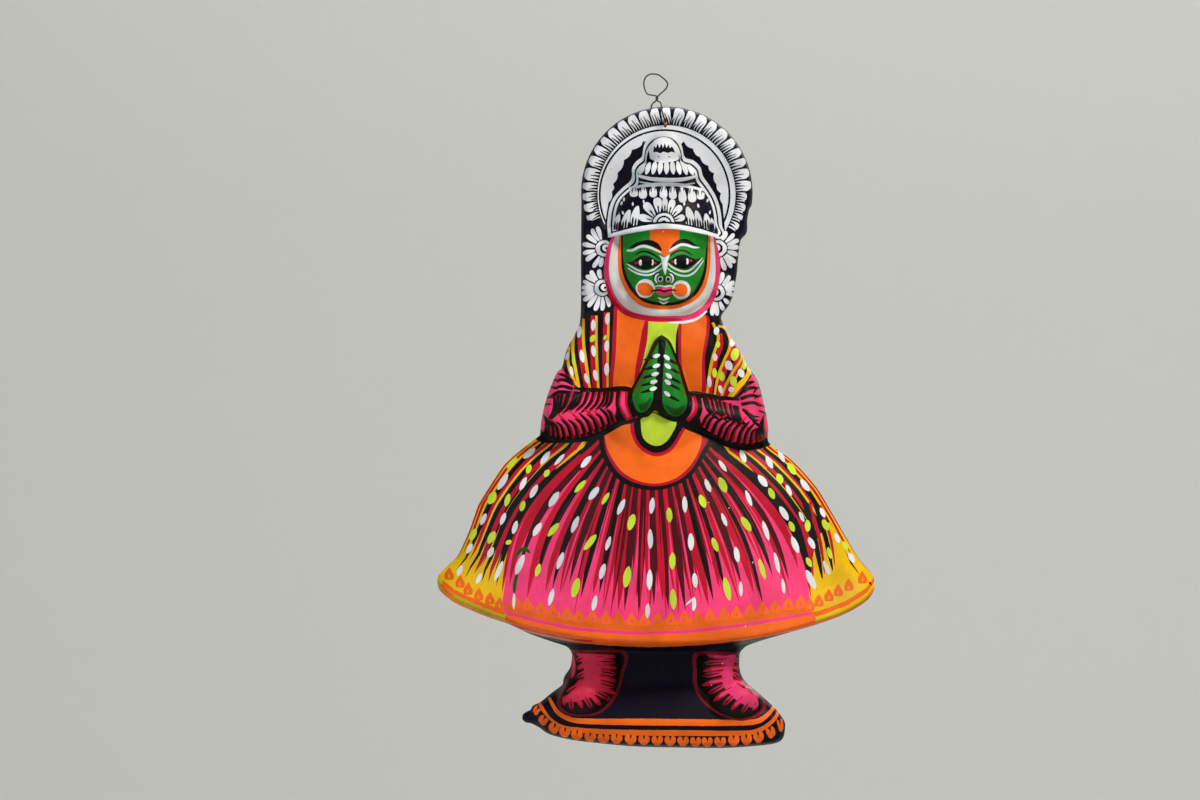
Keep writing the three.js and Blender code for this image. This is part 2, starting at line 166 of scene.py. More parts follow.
skirt = dict(side=[(55, 201), (69, 189), (91, 170), (105, 150), (115.2, 129), (123.4, 114), (130.6, 106),
                   (134.1, 100)],
             waistX=-4.5, hemX=-1.2, waistDepth=20, hemDepth=36, waistBow=10, hemBow=36.5, swell=1, draft=3)
panel = dict(side=[(46, 200), (112, 90.9)], waistX=-2, hemX=-1, waistDepth=23, hemDepth=47, waistBow=10,
             hemBow=27.2, swell=0.9, draft=6)
# The base's rows, from the top: left and right x, z at left, right and middle, middle and side depth
baseLevels = [(-56, 52, 42, 42, 46, 10, 6), (-69, 66, 28, 29, 31, 16, 6), (-77.5, 77.5, 21, 19, 15.5, 21, 6),
              (-70, 77.5, 9, 3.5, -1, 18, 5)]


def lerp(a, b, part):
    return a + (b - a) * part


forms = dict(verts=[], faces=[])


# Each form is made by itself and then added to one list of faces, which is quicker than one big mesh.
def addForm(bm, shape=None, free=True):
    first = len(forms["verts"])
    bm.verts.index_update()
    forms["verts"] += [shape @ v.co if shape else v.co.copy() for v in bm.verts]
    forms["faces"] += [[v.index + first for v in face.verts] for face in bm.faces]
    if free:
        bm.free()


ball = bmesh.new()
bmesh.ops.create_uvsphere(ball, u_segments=48, v_segments=24, radius=1)


def addDome(x, z, halfWidth, halfHeight, start, rise):
    shape = Matrix.Translation((x, -start, z)) @ Matrix.Diagonal((halfWidth, rise, halfHeight, 1))
    addForm(ball, shape, free=False)


def addLimb(joints):
    for x, z, depth, radius in joints:
        addDome(x, z, radius, radius, depth, radius)
    for (x0, z0, d0, r0), (x1, z1, d1, r1) in zip(joints, joints[1:]):
        start = Vector((x0, -d0, z0))
        span = Vector((x1, -d1, z1)) - start
        place = Matrix.Translation(start + span / 2) @ span.to_track_quat("Z", "X").to_matrix().to_4x4()
        bm = bmesh.new()
        bmesh.ops.create_cone(bm, segments=32, radius1=r0, radius2=r1, depth=span.length, matrix=place)
        addForm(bm)


def addPlate(spots, depth, bevel):
    bm = bmesh.new()
    rim = bm.faces.new([bm.verts.new((x, 0, z)) for x, z in spots])
    raised = bmesh.ops.extrude_face_region(bm, geom=[rim])["geom"]
    verts = [v for v in raised if isinstance(v, bmesh.types.BMVert)]
    bmesh.ops.translate(bm, verts=verts, vec=(0, -depth, 0))
    edges = [e for e in raised if isinstance(e, bmesh.types.BMEdge)]
    bmesh.ops.bevel(bm, geom=edges, offset=bevel, affect="EDGES", segments=6, profile=0.5, clamp_overlap=True,
                    material=-1)
    addForm(bm)


def faceSkin(x, z):
    midX, midZ, halfWidth, halfHeight, start, rise = dome["face"]
    out = ((x - midX) / halfWidth) ** 2 + ((z - midZ) / halfHeight) ** 2
    return start + rise * math.sqrt(max(0, 1 - out))


def addHalo():
    bm = bmesh.new()
    inner = halo["ringInner"]
    outer, high, low = halo["radius"], halo["rimDepth"], halo["fieldDepth"]
    profile = [(0, low), (inner - 1.5, low), (inner + 1, high), (outer - 3, high), (outer - 1, high - 1.2),
               (outer, high - 3.5), (outer + 0.3, 0)]
    verts = [bm.verts.new((halo["x"] + r, -depth, halo["z"])) for r, depth in profile]
    edges = [bm.edges.new(pair) for pair in zip(verts, verts[1:])]
    bmesh.ops.spin(bm, geom=verts + edges, axis=(0, 1, 0), cent=(halo["x"], 0, halo["z"]), angle=math.tau,
                   steps=120, use_merge=True)
    addForm(bm)


def addBeard():
    spots = [(beard["halfWidth"], beard["topZ"], beard["sideDepth"], beard["radius"])]
    for i in range(33):
        turn = math.pi * i / 32
        low = math.sin(turn)
        spots.append((beard["halfWidth"] * math.cos(turn), lerp(beard["archZ"], beard["bottomZ"], low),
                      lerp(beard["sideDepth"], beard["chinDepth"], low ** 2), beard["radius"]))
    spots.append((-beard["halfWidth"], beard["topZ"], beard["sideDepth"], beard["radius"]))
    addLimb(spots)


def addBrowBand():
    spots = []
    for i in range(25):
        swell = math.sin(math.pi * i / 24)
        spots.append((lerp(browBand["left"], browBand["right"], i / 24),
                      lerp(browBand["endZ"], browBand["middleZ"], swell),
                      lerp(browBand["endDepth"], browBand["middleDepth"], swell ** 0.7), browBand["radius"]))
    addLimb(spots)


# The place at that part of a smooth curve through the points
def along(points, part):
    place = part * (len(points) - 1)
    i = min(int(place), len(points) - 2)
    before, after = points[max(i - 1, 0)], points[min(i + 2, len(points) - 1)]
    t = place - i
    out = []
    for a, b, c, d in zip(before, points[i], points[i + 1], after):
        out.append(0.5 * (2 * b + (c - a) * t + (2 * a - 5 * b + 4 * c - d) * t * t
                          + (3 * b - a - 3 * c + d) * t ** 3))
    return out


# A bell is a grid bowed in front; its last rows turn under the hem, back to the wall.
def addBell(form, wide=90, tall=60, under=6):
    bm = bmesh.new()
    grid = bmesh.ops.create_grid(bm, x_segments=wide, y_segments=tall + under, size=1)["verts"]
    for v in grid:
        turn = math.pi * (1 - v.co.x) / 2
        row = (1 - v.co.y) / 2 * (tall + under)
        down = min(row / tall, 1)
        back = max(row - tall, 0) / under
        half, z = along(form["side"], down)
        deep = lerp(form["waistDepth"], form["hemDepth"], down ** form["swell"]) * math.sin(turn) * (1 - back)
        bow = lerp(form["waistBow"], form["hemBow"], down)
        v.co = (lerp(form["waistX"], form["hemX"], down) + half * math.cos(turn), -deep,
                z - (bow + form["draft"] * back) * math.sin(turn))
    addForm(bm)


def addBase(wide=60, tall=36):
    bm = bmesh.new()
    for v in bmesh.ops.create_grid(bm, x_segments=wide, y_segments=tall, size=1)["verts"]:
        turn = v.co.x * math.pi / 2
        place = (1 - v.co.y) / 2 * (len(baseLevels) - 1)
        i = min(int(place), len(baseLevels) - 2)
        left, right, leftZ, rightZ, middleZ, middleDepth, sideDepth = (
            lerp(a, b, place - i) for a, b in zip(baseLevels[i], baseLevels[i + 1]))
        sideZ = leftZ if turn < 0 else rightZ
        v.co = (lerp(left, right, (1 + math.sin(turn)) / 2),
                -lerp(sideDepth, middleDepth, max(math.cos(turn), 0) ** 0.7),
                lerp(middleZ, sideZ, abs(math.sin(turn)) ** 2.6))
    addForm(bm)


def makeForms():
    for spec in dome.values():
        addDome(*spec)
    for x, z, halfWidth, halfHeight, lift in feature.values():
        addDome(x, z, halfWidth, halfHeight, faceSkin(x, z) - 1, lift + 1)
    for joints in limb.values():
        addLimb(joints)
    for form in (torso, hair, shin):
        addPlate(form["outline"], form["depth"], form["bevel"])
    for x, z in earFlowers["spots"]:
        addDome(x, z, earFlowers["radius"], earFlowers["radius"], earFlowers["depth"] - 2, 2)
        addDome(x, z, earFlowers["boss"], earFlowers["boss"], earFlowers["depth"] - 2, earFlowers["bossRise"])
    addHalo()
    addBeard()
    addBrowBand()
    addBell(skirt)
    addBell(panel)
    addBase()
    ball.free()
    return BVHTree.FromPolygons(forms["verts"], forms["faces"])


# The paper's front, as heights over a grid seen straight on

sheet = dict(left=-142, right=142, bottom=-8, top=396, soften=1.1, wall=4, lumps=0.34, wrinkles=0.1,
             fineStep=0.8, steep=0.9, backStep=3.2, edgeStep=1.4, backLip=0.9, thinnest=3)
columns = np.arange(sheet["left"], sheet["right"] + 1.0)
rows = np.arange(sheet["bottom"], sheet["top"] + 1.0)

# The figure's edge below the halo: down its left side to the middle of the base, and up its right
outlineLeft = [
    (-49.7, 261), (-53.3, 250), (-57.8, 241), (-60.6, 230), (-63.6, 227), (-69.2, 213), (-72.5, 199),
    (-73.6, 189), (-74.9, 187.5), (-87.2, 178), (-95.6, 170), (-104, 157), (-111, 145), (-116.4, 129),
    (-123.3, 114), (-130.3, 107), (-134.6, 102.2), (-135.2, 98), (-133.3, 92.6), (-124.6, 86), (-111.7, 80.4),
    (-100.6, 76.3), (-91.3, 73.6), (-84, 70), (-76.5, 66.5), (-63.5, 62), (-55.5, 59.5), (-52.6, 56),
    (-52.4, 53), (-53.3, 47), (-56.4, 42), (-57.6, 38.7), (-58.2, 36), (-65.4, 30.4), (-71, 25.7), (-76, 23),
    (-77.2, 20.6), (-79.6, 19.4), (-82, 17.6), (-82.1, 14.6), (-80, 12.8), (-77, 12.4), (-72, 10), (-65.4, 6),
    (-52.4, 3), (-34, 1), (-12, -0.6), (12, -0.9),
]
outlineRight = [
    (40, -0.9), (58.7, 0.4), (71.7, 2), (77, 4.8), (78.4, 11), (78, 15.6), (73.5, 22), (69.8, 25.7),
    (60.6, 34), (54, 39.6), (50.7, 45), (49.8, 52.6), (51.3, 59), (60.6, 64), (77, 69.5), (97.6, 75.7),
    (114.3, 82), (127, 89.6), (131.6, 95.8), (132.2, 101), (130.8, 106), (122.5, 115.6), (114.2, 129),
    (105.8, 143), (96, 158.6), (82, 174), (71, 182), (66, 187), (65.6, 196), (62.8, 210), (58.6, 224),
    (52.2, 233), (47.8, 242), (42.2, 250), (37.2, 259), (36.4, 263), (40.6, 269), (43.3, 275.6), (44.4, 282),
    (45.6, 289), (46.4, 300), (47.6, 309), (51.3, 314), (51.6, 322), (52.6, 328),
]


# A smooth curve through the points, cut into even steps
def smooth(points, spacing, closed=False):
    path = list(points) + [points[0]] if closed else list(points)
    length = sum(math.dist(a, b) for a, b in zip(path, path[1:]))
    count = max(int(length / spacing), len(path) - 1, 2)
    fine = [along(path, i / (count * 4)) for i in range(count * 4 + 1)]
    run = [0]
    for a, b in zip(fine, fine[1:]):
        run.append(run[-1] + math.dist(a, b))
    places = np.linspace(0, run[-1], count + 1)
    xs = np.interp(places, run, [p[0] for p in fine])
    zs = np.interp(places, run, [p[1] for p in fine])
    out = list(zip(xs.tolist(), zs.tolist()))
    return out[:-1] if closed else out


def wholeOutline():
    arc = []
    turn = math.radians(-8)
    while turn < math.radians(186):
        x = halo["x"] + halo["radius"] * math.cos(turn)
        arc.append((x, halo["z"] + halo["radius"] * math.sin(turn)))
        nearNotch = abs(x - notch["x"]) < 3 and turn > 1
        turn += (0.4 if nearNotch else sheet["edgeStep"]) / halo["radius"]
    left = smooth([(-50, 331), (-49.8, 300)] + outlineLeft, sheet["edgeStep"])
    right = smooth([outlineLeft[-1]] + outlineRight, sheet["edgeStep"])[1:]
    return arc + left + right


# Where the wire passes: the dent in the rim behind it and the hole in front
notch = dict(x=-7.3, depth=2.1, halfWidth=1.7, low=383.5, slack=0.4, slope=0.5)
wireHole = dict(x=0.8, z=380.2, radius=1.0)
outline = wholeOutline()
holeRing = [(wireHole["x"] + wireHole["radius"] * math.cos(t),
             wireHole["z"] + wireHole["radius"] * math.sin(t))
            for t in np.linspace(0, math.tau, 14, endpoint=False)]


def distanceField():
    dense = []
    for (x0, z0), (x1, z1) in zip(outline, outline[1:] + outline[:1]):
        dense += [(lerp(x0, x1, t), lerp(z0, z1, t)) for t in (0, 0.2, 0.4, 0.6, 0.8)]
    tree = KDTree(len(dense))
    for i, (x, z) in enumerate(dense):
        tree.insert((x, 0, z), i)
    tree.balance()
    gridX, gridZ = np.meshgrid(columns, rows)
    within = np.zeros(gridX.shape, bool)
    for (x0, z0), (x1, z1) in zip(outline, outline[1:] + outline[:1]):
        if z0 == z1:
            continue
        crosses = (z0 > gridZ) != (z1 > gridZ)
        within ^= crosses & (gridX < x0 + (x1 - x0) * (gridZ - z0) / (z1 - z0))
    away = np.array([[tree.find((x, 0, z))[2] for x in columns] for z in rows])
    return np.where(within, away, -away)


def castHeights(tree):
    heights = np.full((len(rows), len(columns)), -1.0)
    ahead = Vector((0, 1, 0))
    for j, z in enumerate(rows):
        for i, x in enumerate(columns):
            hit = tree.ray_cast(Vector((x, -90, z)), ahead, 90)[0]
            if hit is not None:
                heights[j, i] = -hit.y
    return heights


def fillOutward(heights, rounds=14):
    for _ in range(rounds):
        known = heights >= 0
        total = np.zeros_like(heights)
        count = np.zeros_like(heights)
        for axis in (0, 1):
            for shift in (-1, 1):
                beside = np.roll(heights, shift, axis)
                total += np.where(beside >= 0, beside, 0)
                count += beside >= 0
        grow = ~known & (count > 0)
        heights[grow] = total[grow] / count[grow]
    return np.maximum(heights, 0)


def soften(heights, radius):
    reach = int(radius * 3) + 1
    weights = np.exp(-0.5 * (np.arange(-reach, reach + 1) / radius) ** 2)
    weights /= weights.sum()
    for axis in (0, 1):
        heights = np.apply_along_axis(np.convolve, axis, heights, weights, "same")
    return heights


def handUnevenness():
    lumps = [[noise.noise(Vector((x / 17, 3.1, z / 17))) * sheet["lumps"]
              + noise.noise(Vector((x / 5.5, 9.7, z / 5.5))) * sheet["wrinkles"]
              for x in columns] for z in rows]
    return np.array(lumps)


# The hollow's surface is one wall behind the front, as a ball of that size rolled along it gives.
def hollowHeights(heights):
    inner = np.full_like(heights, 99.0)
    reach = sheet["wall"]
    for dj in range(-reach, reach + 1):
        for di in range(-reach, reach + 1):
            rise = reach ** 2 - dj ** 2 - di ** 2
            if rise >= 0:
                inner = np.minimum(inner, np.roll(heights, (dj, di), (0, 1)) - math.sqrt(rise))
    inner = soften(np.maximum(inner, 0), 1.4)
    return inner * np.clip((edgeDistance - sheet["wall"]) / sheet["backLip"], 0, 1)


def at(field, x, z):
    u = min(max(x - columns[0], 0), len(columns) - 1.001)
    v = min(max(z - rows[0], 0), len(rows) - 1.001)
    i, j = int(u), int(v)
    s, t = u - i, v - j
    return ((field[j, i] * (1 - s) + field[j, i + 1] * s) * (1 - t)
            + (field[j + 1, i] * (1 - s) + field[j + 1, i + 1] * s) * t)


edgeDistance = distanceField()
formed = fillOutward(castHeights(makeForms()))
cover = np.clip(edgeDistance + 0.5, 0, 1)
front = soften(formed * cover, sheet["soften"]) + handUnevenness() * np.clip(edgeDistance / 3, 0, 1)
hollow = np.minimum(hollowHeights(front), np.maximum(front - sheet["thinnest"], 0))
slopeZ, slopeX = np.gradient(front)
hollowSlopeZ, hollowSlopeX = np.gradient(hollow)
print("paper form ready", round(float(front.max()), 1))


# Paint. Each stroke is an outline on the front with a colour, a brush direction and how much it's loaded.

random.seed(7)
paints = dict(white="#EEF3FA", navy="#080418", black="#0D0908", crimson="#C40F2E", pink="#FF3F78",
              orange="#FF6A18", yellow="#EDB90E", lime="#CBEE3C", green="#1C8A28", darkGreen="#12591B",
              maroon="#4A0E16", jaw="#DCDAD6", shadedYellow="#C9B21A", rust="#7A3A1C", wine="#7C0C1E",
              shadedPink="#CB2A4C")
strokes = []


def paint(colour, points, angle=90):
    strokes.append((points, toLinear(paints[colour]), angle, random.random() * 0.7))


def shaky(amount):
    return random.uniform(-amount, amount)


def area(colour, points, angle=90, spacing=1.6):
    paint(colour, smooth(points, spacing, closed=True), angle)


def spot(colour, x, z, width, height=None, lean=0, pointed=0.0, count=14):
    height = height or width
    turnBy = math.radians(lean)
    points = []
    for i in range(count):
        turn = math.tau * i / count
        narrow = 1 - pointed * abs(math.sin(turn)) ** 3
        u = width / 2 * math.cos(turn) * narrow * (1 + shaky(0.05))
        v = height / 2 * math.sin(turn) * (1 + shaky(0.03))
        points.append((x + u * math.cos(turnBy) + v * math.sin(turnBy),
                       z - u * math.sin(turnBy) + v * math.cos(turnBy)))
    paint(colour, points, 90 - lean)


def headingOf(start, end):
    return math.degrees(math.atan2(end[1] - start[1], end[0] - start[0]))


# One stroke from its stations: a place, the way on from there, and half the width.
def ribbon(colour, stations, angle):
    left, right = [], []
    for (x, z), (aheadX, aheadZ), half in stations:
        length = math.hypot(aheadX, aheadZ) or 1
        left.append((x - aheadZ / length * half, z + aheadX / length * half))
        right.append((x + aheadZ / length * half, z - aheadX / length * half))
    paint(colour, left + right[::-1], angle)


# A brush line is widest between its ends; "start" and "end" are how wide it is there.
def line(colour, points, width, start=0.5, end=0.1, spacing=1.5):
    if len(points) == 2:
        points = [points[0], tuple((a + b) / 2 for a, b in zip(*points)), points[1]]
    path = smooth(points, spacing)
    stations = []
    for i, place in enumerate(path):
        part = i / (len(path) - 1)
        before, after = path[max(i - 1, 0)], path[min(i + 1, len(path) - 1)]
        swell = math.sin(math.pi * min(part, 1 - part)) ** 0.6
        narrow = start if part < 0.5 else end
        half = width / 2 * (narrow + (1 - narrow) * swell) * (1 + shaky(0.05))
        stations.append((place, (after[0] - before[0], after[1] - before[1]), max(half, 0.06)))
    ribbon(colour, stations, headingOf(path[0], path[-1]))


def polar(radius, degrees, middle):
    turn = math.radians(degrees)
    return (middle[0] + radius * math.cos(turn), middle[1] + radius * math.sin(turn))


# How wide a petal is at each part of its length, rounded or pointed
petalParts = (0, 0.36, 0.7, 0.93)
petalWidths = dict(rounded=(0.3, 0.8, 1, 0.72), pointed=(0.5, 0.95, 0.8, 0.4))


def petal(colour, base, tip, width, bow=0.0, kind="rounded"):
    (x0, z0), (x1, z1) = base, tip
    length = math.hypot(x1 - x0, z1 - z0)
    across = (-(z1 - z0) / length, (x1 - x0) / length)
    up = list(zip(petalParts, petalWidths[kind]))
    edge = []
    for part, half in up + [(1, 0)] + [(part, -half) for part, half in up[::-1]]:
        off = half * width / 2 + bow * math.sin(math.pi * part) + shaky(0.12)
        edge.append((lerp(x0, x1, part) + across[0] * off, lerp(z0, z1, part) + across[1] * off))
    area(colour, edge, headingOf(base, tip), 1.3)


# Each lobe of the halo bows away from the top, and dark wedges part it from the ring outwards.
# The gaps between lobes are in degrees round the halo, down its left side and down its right.
haloPaint = dict(
    leftGaps=(86.9, 95.2, 103, 111.6, 120, 128.5, 137.5, 144.9, 153, 162, 172.7, 180, 187.8, 195.7, 202),
    rightGaps=(86.9, 77.7, 69.5, 60.8, 52.4, 42.4, 34.3, 26.4, 18.8, 10, 1.1, -6.9, -15.3, -22, -29.5),
    rim=51.6, lowRim=48.8, gap=0.8, wedge=1.1, wedgeReach=(46.2, 48.2, 47.2),
    ring=((2, 336.6), 42.1), ringLine=((0.8, 336.1), 40.2), field=((0.8, 336.1), 39),
    leftCusps=[(-11.4, 369), (-19.4, 363.4), (-24.2, 357.2), (-28, 349.4), (-30.8, 342.4), (-31.4, 337.8),
               (-33.4, 331)],
    rightCusps=[(12.2, 369), (17.8, 364.6), (22.2, 359.4), (27.2, 354.2), (30.8, 349.8), (32.4, 343),
                (35.2, 337.6), (36.2, 331)],
    leftInner=[(-36, 314), (-20, 312), (-12, 345), (-8, 366)],
    rightInner=[(38, 314), (22, 312), (14, 345), (9, 366)],
)


def paintLobe(near, far, way):
    middle = (halo["x"], halo["z"])
    ringMiddle = haloPaint["ring"][0]
    rim = haloPaint["rim"] if far > -3 else haloPaint["lowRim"]
    sides = []
    for turn, inside in ((near, way * haloPaint["gap"]), (far, -way * haloPaint["gap"])):
        sides.append(smooth([polar(42.6 + shaky(0.3), turn + inside - 1.3 * way, ringMiddle),
                             polar(45.6, turn + inside * 0.9 + 0.3 * way, middle),
                             polar(48.4, turn + inside * 0.9 + 0.6 * way, middle),
                             polar(rim - 1.4, turn + inside * 1.8 + 0.3 * way, middle)], 1.4))
    top = [polar(rim - 0.3, lerp(near, far, 0.24), middle), polar(rim, lerp(near, far, 0.5), middle),
           polar(rim - 0.3, lerp(near, far, 0.76), middle)]
    paint("white", sides[0] + top + sides[1][::-1], near)
    count = 3 if abs(far - near) > 7.6 else 2
    for i in range(count):
        turn = lerp(near, far, (i + 1) / (count + 1)) - 1.5 * way
        tip = lerp(near, far, (i + 1) / (count + 1)) + (0.9 + shaky(0.4)) * way
        reach = haloPaint["wedgeReach"][i] + shaky(0.6)
        paint("navy", smooth([polar(42, turn - haloPaint["wedge"], ringMiddle),
                              polar(44.6, turn - 0.45 + 0.2 * way, ringMiddle), polar(reach, tip, middle)],
                              1.4)
              + smooth([polar(reach - 0.3, tip + 0.4, middle),
                        polar(44.6, turn + 0.75 + 0.2 * way, ringMiddle),
                        polar(42, turn + haloPaint["wedge"], ringMiddle)], 1.4), turn)


def paintHalo():
    for way, gaps in ((1, haloPaint["leftGaps"]), (-1, haloPaint["rightGaps"])):
        for near, far in zip(gaps, gaps[1:]):
            paintLobe(near, far, way)
    for colour, name in (("white", "ring"), ("navy", "ringLine"), ("white", "field")):
        place, radius = haloPaint[name]
        paint(colour, [polar(radius, turn, place) for turn in range(0, 360, 4)])
    for cusps, inner, bulge in ((haloPaint["leftCusps"], haloPaint["leftInner"], 1.1),
                                (haloPaint["rightCusps"], haloPaint["rightInner"], -1.1)):
        edge = []
        for (x0, z0), (x1, z1) in zip(cusps, cusps[1:]):
            length = math.hypot(x1 - x0, z1 - z0)
            for part in (0, 0.25, 0.5, 0.75):
                out = bulge * math.sin(math.pi * part)
                edge.append((lerp(x0, x1, part) - (z1 - z0) / length * out,
                             lerp(z0, z1, part) + (x1 - x0) / length * out))
        paint("navy", edge + [cusps[-1]] + inner, 60)
    line("navy", [(-12.5, 369), (-13.5, 363), (-12.6, 359)], 1.3, 0.4, 0.4)


crown = dict(
    edge=[(-33.4, 309.5), (-33.9, 318), (-33, 327), (-30.4, 334), (-25.2, 340), (-20.6, 344), (-19.2, 347.4),
          (-19.2, 352.4), (-16.8, 356.4), (-13.4, 359.2), (-12.8, 362.4), (-12, 366.4), (-9.6, 370.2),
          (-5.6, 373), (-0.5, 374.2), (5, 373.2), (9, 370), (11.2, 365.4), (12.2, 360.6), (13.8, 358.6),
          (18.2, 357.4), (22.4, 353.4), (24, 348), (28, 342.4), (32.4, 335), (35, 327), (36, 318),
          (35.8, 309.5)],
    # Each petal's base, tip and width
    outerPetals=[((-28.6, 312.8), (-26.6, 324), 4), ((-23.4, 313.4), (-20.4, 326.6), 5),
                 ((-17.4, 314.6), (-15.4, 329), 5.4), ((-12.6, 316), (-11.4, 321), 2.4),
                 ((16.8, 315.2), (14.4, 328.8), 5.4), ((21.4, 314.6), (19.8, 326.6), 4.8),
                 ((26, 313.8), (25.8, 325), 4.6), ((30, 312.8), (29.2, 322.4), 3),
                 ((12.6, 316), (12.4, 321), 2.4)],
    innerPetals=[((-6, 319.8), (-15, 322.2), 4.6), ((-5.4, 322.2), (-11.4, 330.6), 5),
                 ((-2.8, 324.4), (-4, 334), 5.2), ((0.8, 324.8), (0.8, 334), 3.4),
                 ((3.4, 324), (5.8, 333), 4.2), ((5.4, 322.6), (10.8, 329.2), 4),
                 ((6.4, 320.2), (13, 322.4), 4)],
)


def paintCrown():
    middle = (1, 330)
    area("white", crown["edge"] + [(1, 312)])
    for colour, inwards in (("navy", 2.1), ("white", 3.2), ("navy", 4.8)):
        ring = []
        for x, z in crown["edge"]:
            away = math.hypot(x - middle[0], (z - middle[1]) * 0.8)
            part = max(0, 1 - inwards / away)
            ring.append((middle[0] + (x - middle[0]) * part, middle[1] + (z - middle[1]) * part))
        area(colour, ring + [(1, 312)])
    # The bud, with its toothed band
    area("white", [(-8.6, 358), (-8.9, 364), (-6, 369), (-0.8, 371.2), (4.6, 369.8), (7.8, 365.6), (9, 361),
                   (9, 357.6), (4, 356), (-0.5, 355.2), (-4.6, 356)])
    teeth = [(-6.6, 361.8)]
    for i in range(6):
        teeth += [(-6 + i * 2.15, 367.2 - 0.25 * (i - 2.5) ** 2 + shaky(0.3)), (-5 + i * 2.15, 364.2)]
    paint("navy", teeth + [(6.9, 361.6), (4.6, 362.2), (2.4, 361.2), (-0.2, 362), (-2.4, 361), (-4.4, 361.8)])
    for x in (-3.2, 3.1):
        spot("navy", x, 359, 0.9, 0.8)
    # The rolled tier, with upright petals over a plain band
    for i in range(9):
        across = (i - 4) / 4
        spot("white", 1.6 + across * 15, 352.6 - 1.2 * across ** 2, 3.2, 9.4 - 1.6 * across ** 2,
             -across * 22, 0.4)
    line("white", [(-16.4, 347.6), (-8, 345.4), (2.2, 344.7), (12, 345.3), (20.6, 347.8)], 2.4, 0.5, 0.5)
    line("white", [(-14.8, 343.8), (-6, 342.2), (2, 341.8), (11, 342), (19.2, 343.6)], 1.3, 0.4, 0.4)
    line("white", [(-21, 340), (-10, 341.6), (1, 342.2), (12, 341.8), (25, 339.4)], 2.2, 0.6, 0.6)
    for x, top, low in ((-17.8, 340.8, 334.4), (-12.4, 341.2, 333.2), (-6.2, 341.2, 334), (0, 341.4, 333.4),
                        (5.6, 341, 333), (11.4, 341.2, 331), (17.2, 340.8, 331.4), (22.4, 339.6, 333.4)):
        petal("white", (x - 0.02 * x, top), (x + 0.03 * x, low), 5.0 + shaky(0.2))
        line("navy", [(x - 1.1 + shaky(0.5), top - 0.6), (x - 1.4, top - 4)], 0.8, 0.4, 0.4)
        line("navy", [(x + 1.1 + shaky(0.5), top - 0.4), (x + 0.8, top - 3)], 0.6, 0.4, 0.4)
    for x, z in ((-25.4, 330.6), (-24, 333), (-18.6, 330), (-12, 331.4), (12.6, 330.4), (21.2, 329.4),
                 (27, 333), (28.4, 325.6), (-24.6, 324.6), (24.6, 336.6)):
        spot("white", x, z, 1.2, 2.5, shaky(20))
    # Petals fan out over the brow, round one rosette
    for base, tip, width in crown["outerPetals"]:
        way = 1 if base[0] < 0 else -1
        petal("white", base, tip, width, way * 0.7, "pointed")
        for i in range(3):
            x, z = lerp(base[0], tip[0], 0.12) + (i - 1) * width * 0.33, base[1] + 1.4
            line("navy", [(x, z), (x + way * 0.6, z + 5.4 + shaky(1))], 1.2, 1, 0.1)
    for base, tip, width in crown["innerPetals"]:
        petal("white", base, tip, width)
        (x0, z0), (x1, z1) = base, tip
        for i in (-1, 1):
            off = i * width * 0.2
            line("navy", [(x0 + (z0 - z1) * 0.03 * i, z0),
                          (lerp(x0, x1, 0.5) + off * 0.5, lerp(z0, z1, 0.5))],
                 0.7, 1, 0.1)
    for colour, radius in (("navy", 7.2), ("white", 6.6), ("navy", 4.9), ("white", 3.9), ("navy", 2)):
        spot(colour, 0.3, 317.8, radius * 2, count=22)
    area("navy", [(-32, 309), (-16, 313), (0.8, 315.2), (17, 313.6), (34, 309), (30, 306), (-28, 306)])
    line("navy", [(-31.5, 312.6), (-16, 316.4), (0.8, 318.4), (17, 316.8), (33.4, 312.8)], 1.4, 0.6, 0.6)
    line("white", [(-31.6, 310.8), (-16, 314.6), (0.8, 316.6), (17, 315), (33.8, 311.2)], 2.7, 0.6, 0.6)


# Flowers over the ears, each with its middle and where its petals end
earFlowerPetals = (
    ((-35.8, 303), [(-40.2, 316.4), (-43.6, 315), (-46.6, 311), (-49.2, 305.8), (-48.8, 299.8),
                    (-46.8, 295.4), (-42.4, 291.2), (-38, 291.6)]),
    ((-36.4, 279), [(-38.6, 290.4), (-43.8, 289.6), (-46.8, 286.4), (-48.6, 283), (-49.2, 279.2),
                    (-49.2, 275.4), (-48, 271), (-45.2, 267), (-41, 264.8), (-36.4, 264.8), (-32, 267.2)]),
    ((34, 303.8), [(38.6, 314.6), (43.6, 313), (46.6, 309.4), (46.6, 305), (46, 300), (44.6, 295.4),
                   (42.2, 292), (38.4, 290.4)]),
    ((33.2, 276.8), [(36.8, 289.6), (41.4, 287.4), (44.2, 283.8), (44.4, 280), (43.6, 275.8), (41, 270.4),
                     (37.8, 266), (33.6, 262.6), (30.4, 262.6)]),
)


def paintEarFlowers():
    for (x, z), tips in earFlowerPetals:
        side = -1 if x < 0 else 1
        for px, pz in tips:
            away = math.hypot(px - x, pz - z)
            petal("white", (lerp(x, px, 5 / away), lerp(z, pz, 5 / away)), (px, pz), 2.95 + shaky(0.25),
                  shaky(0.5))
        spot("navy", x, z, 11.4, count=18)
        spot("white", x, z, 10, count=18)
        spot("navy", x - side * 0.5, z, 6.2, count=14)
        spot("white", x - side * 1.1, z + 0.2, 4.4, count=12)
        spot("navy", x - side * 1.6, z, 1.6, count=8)


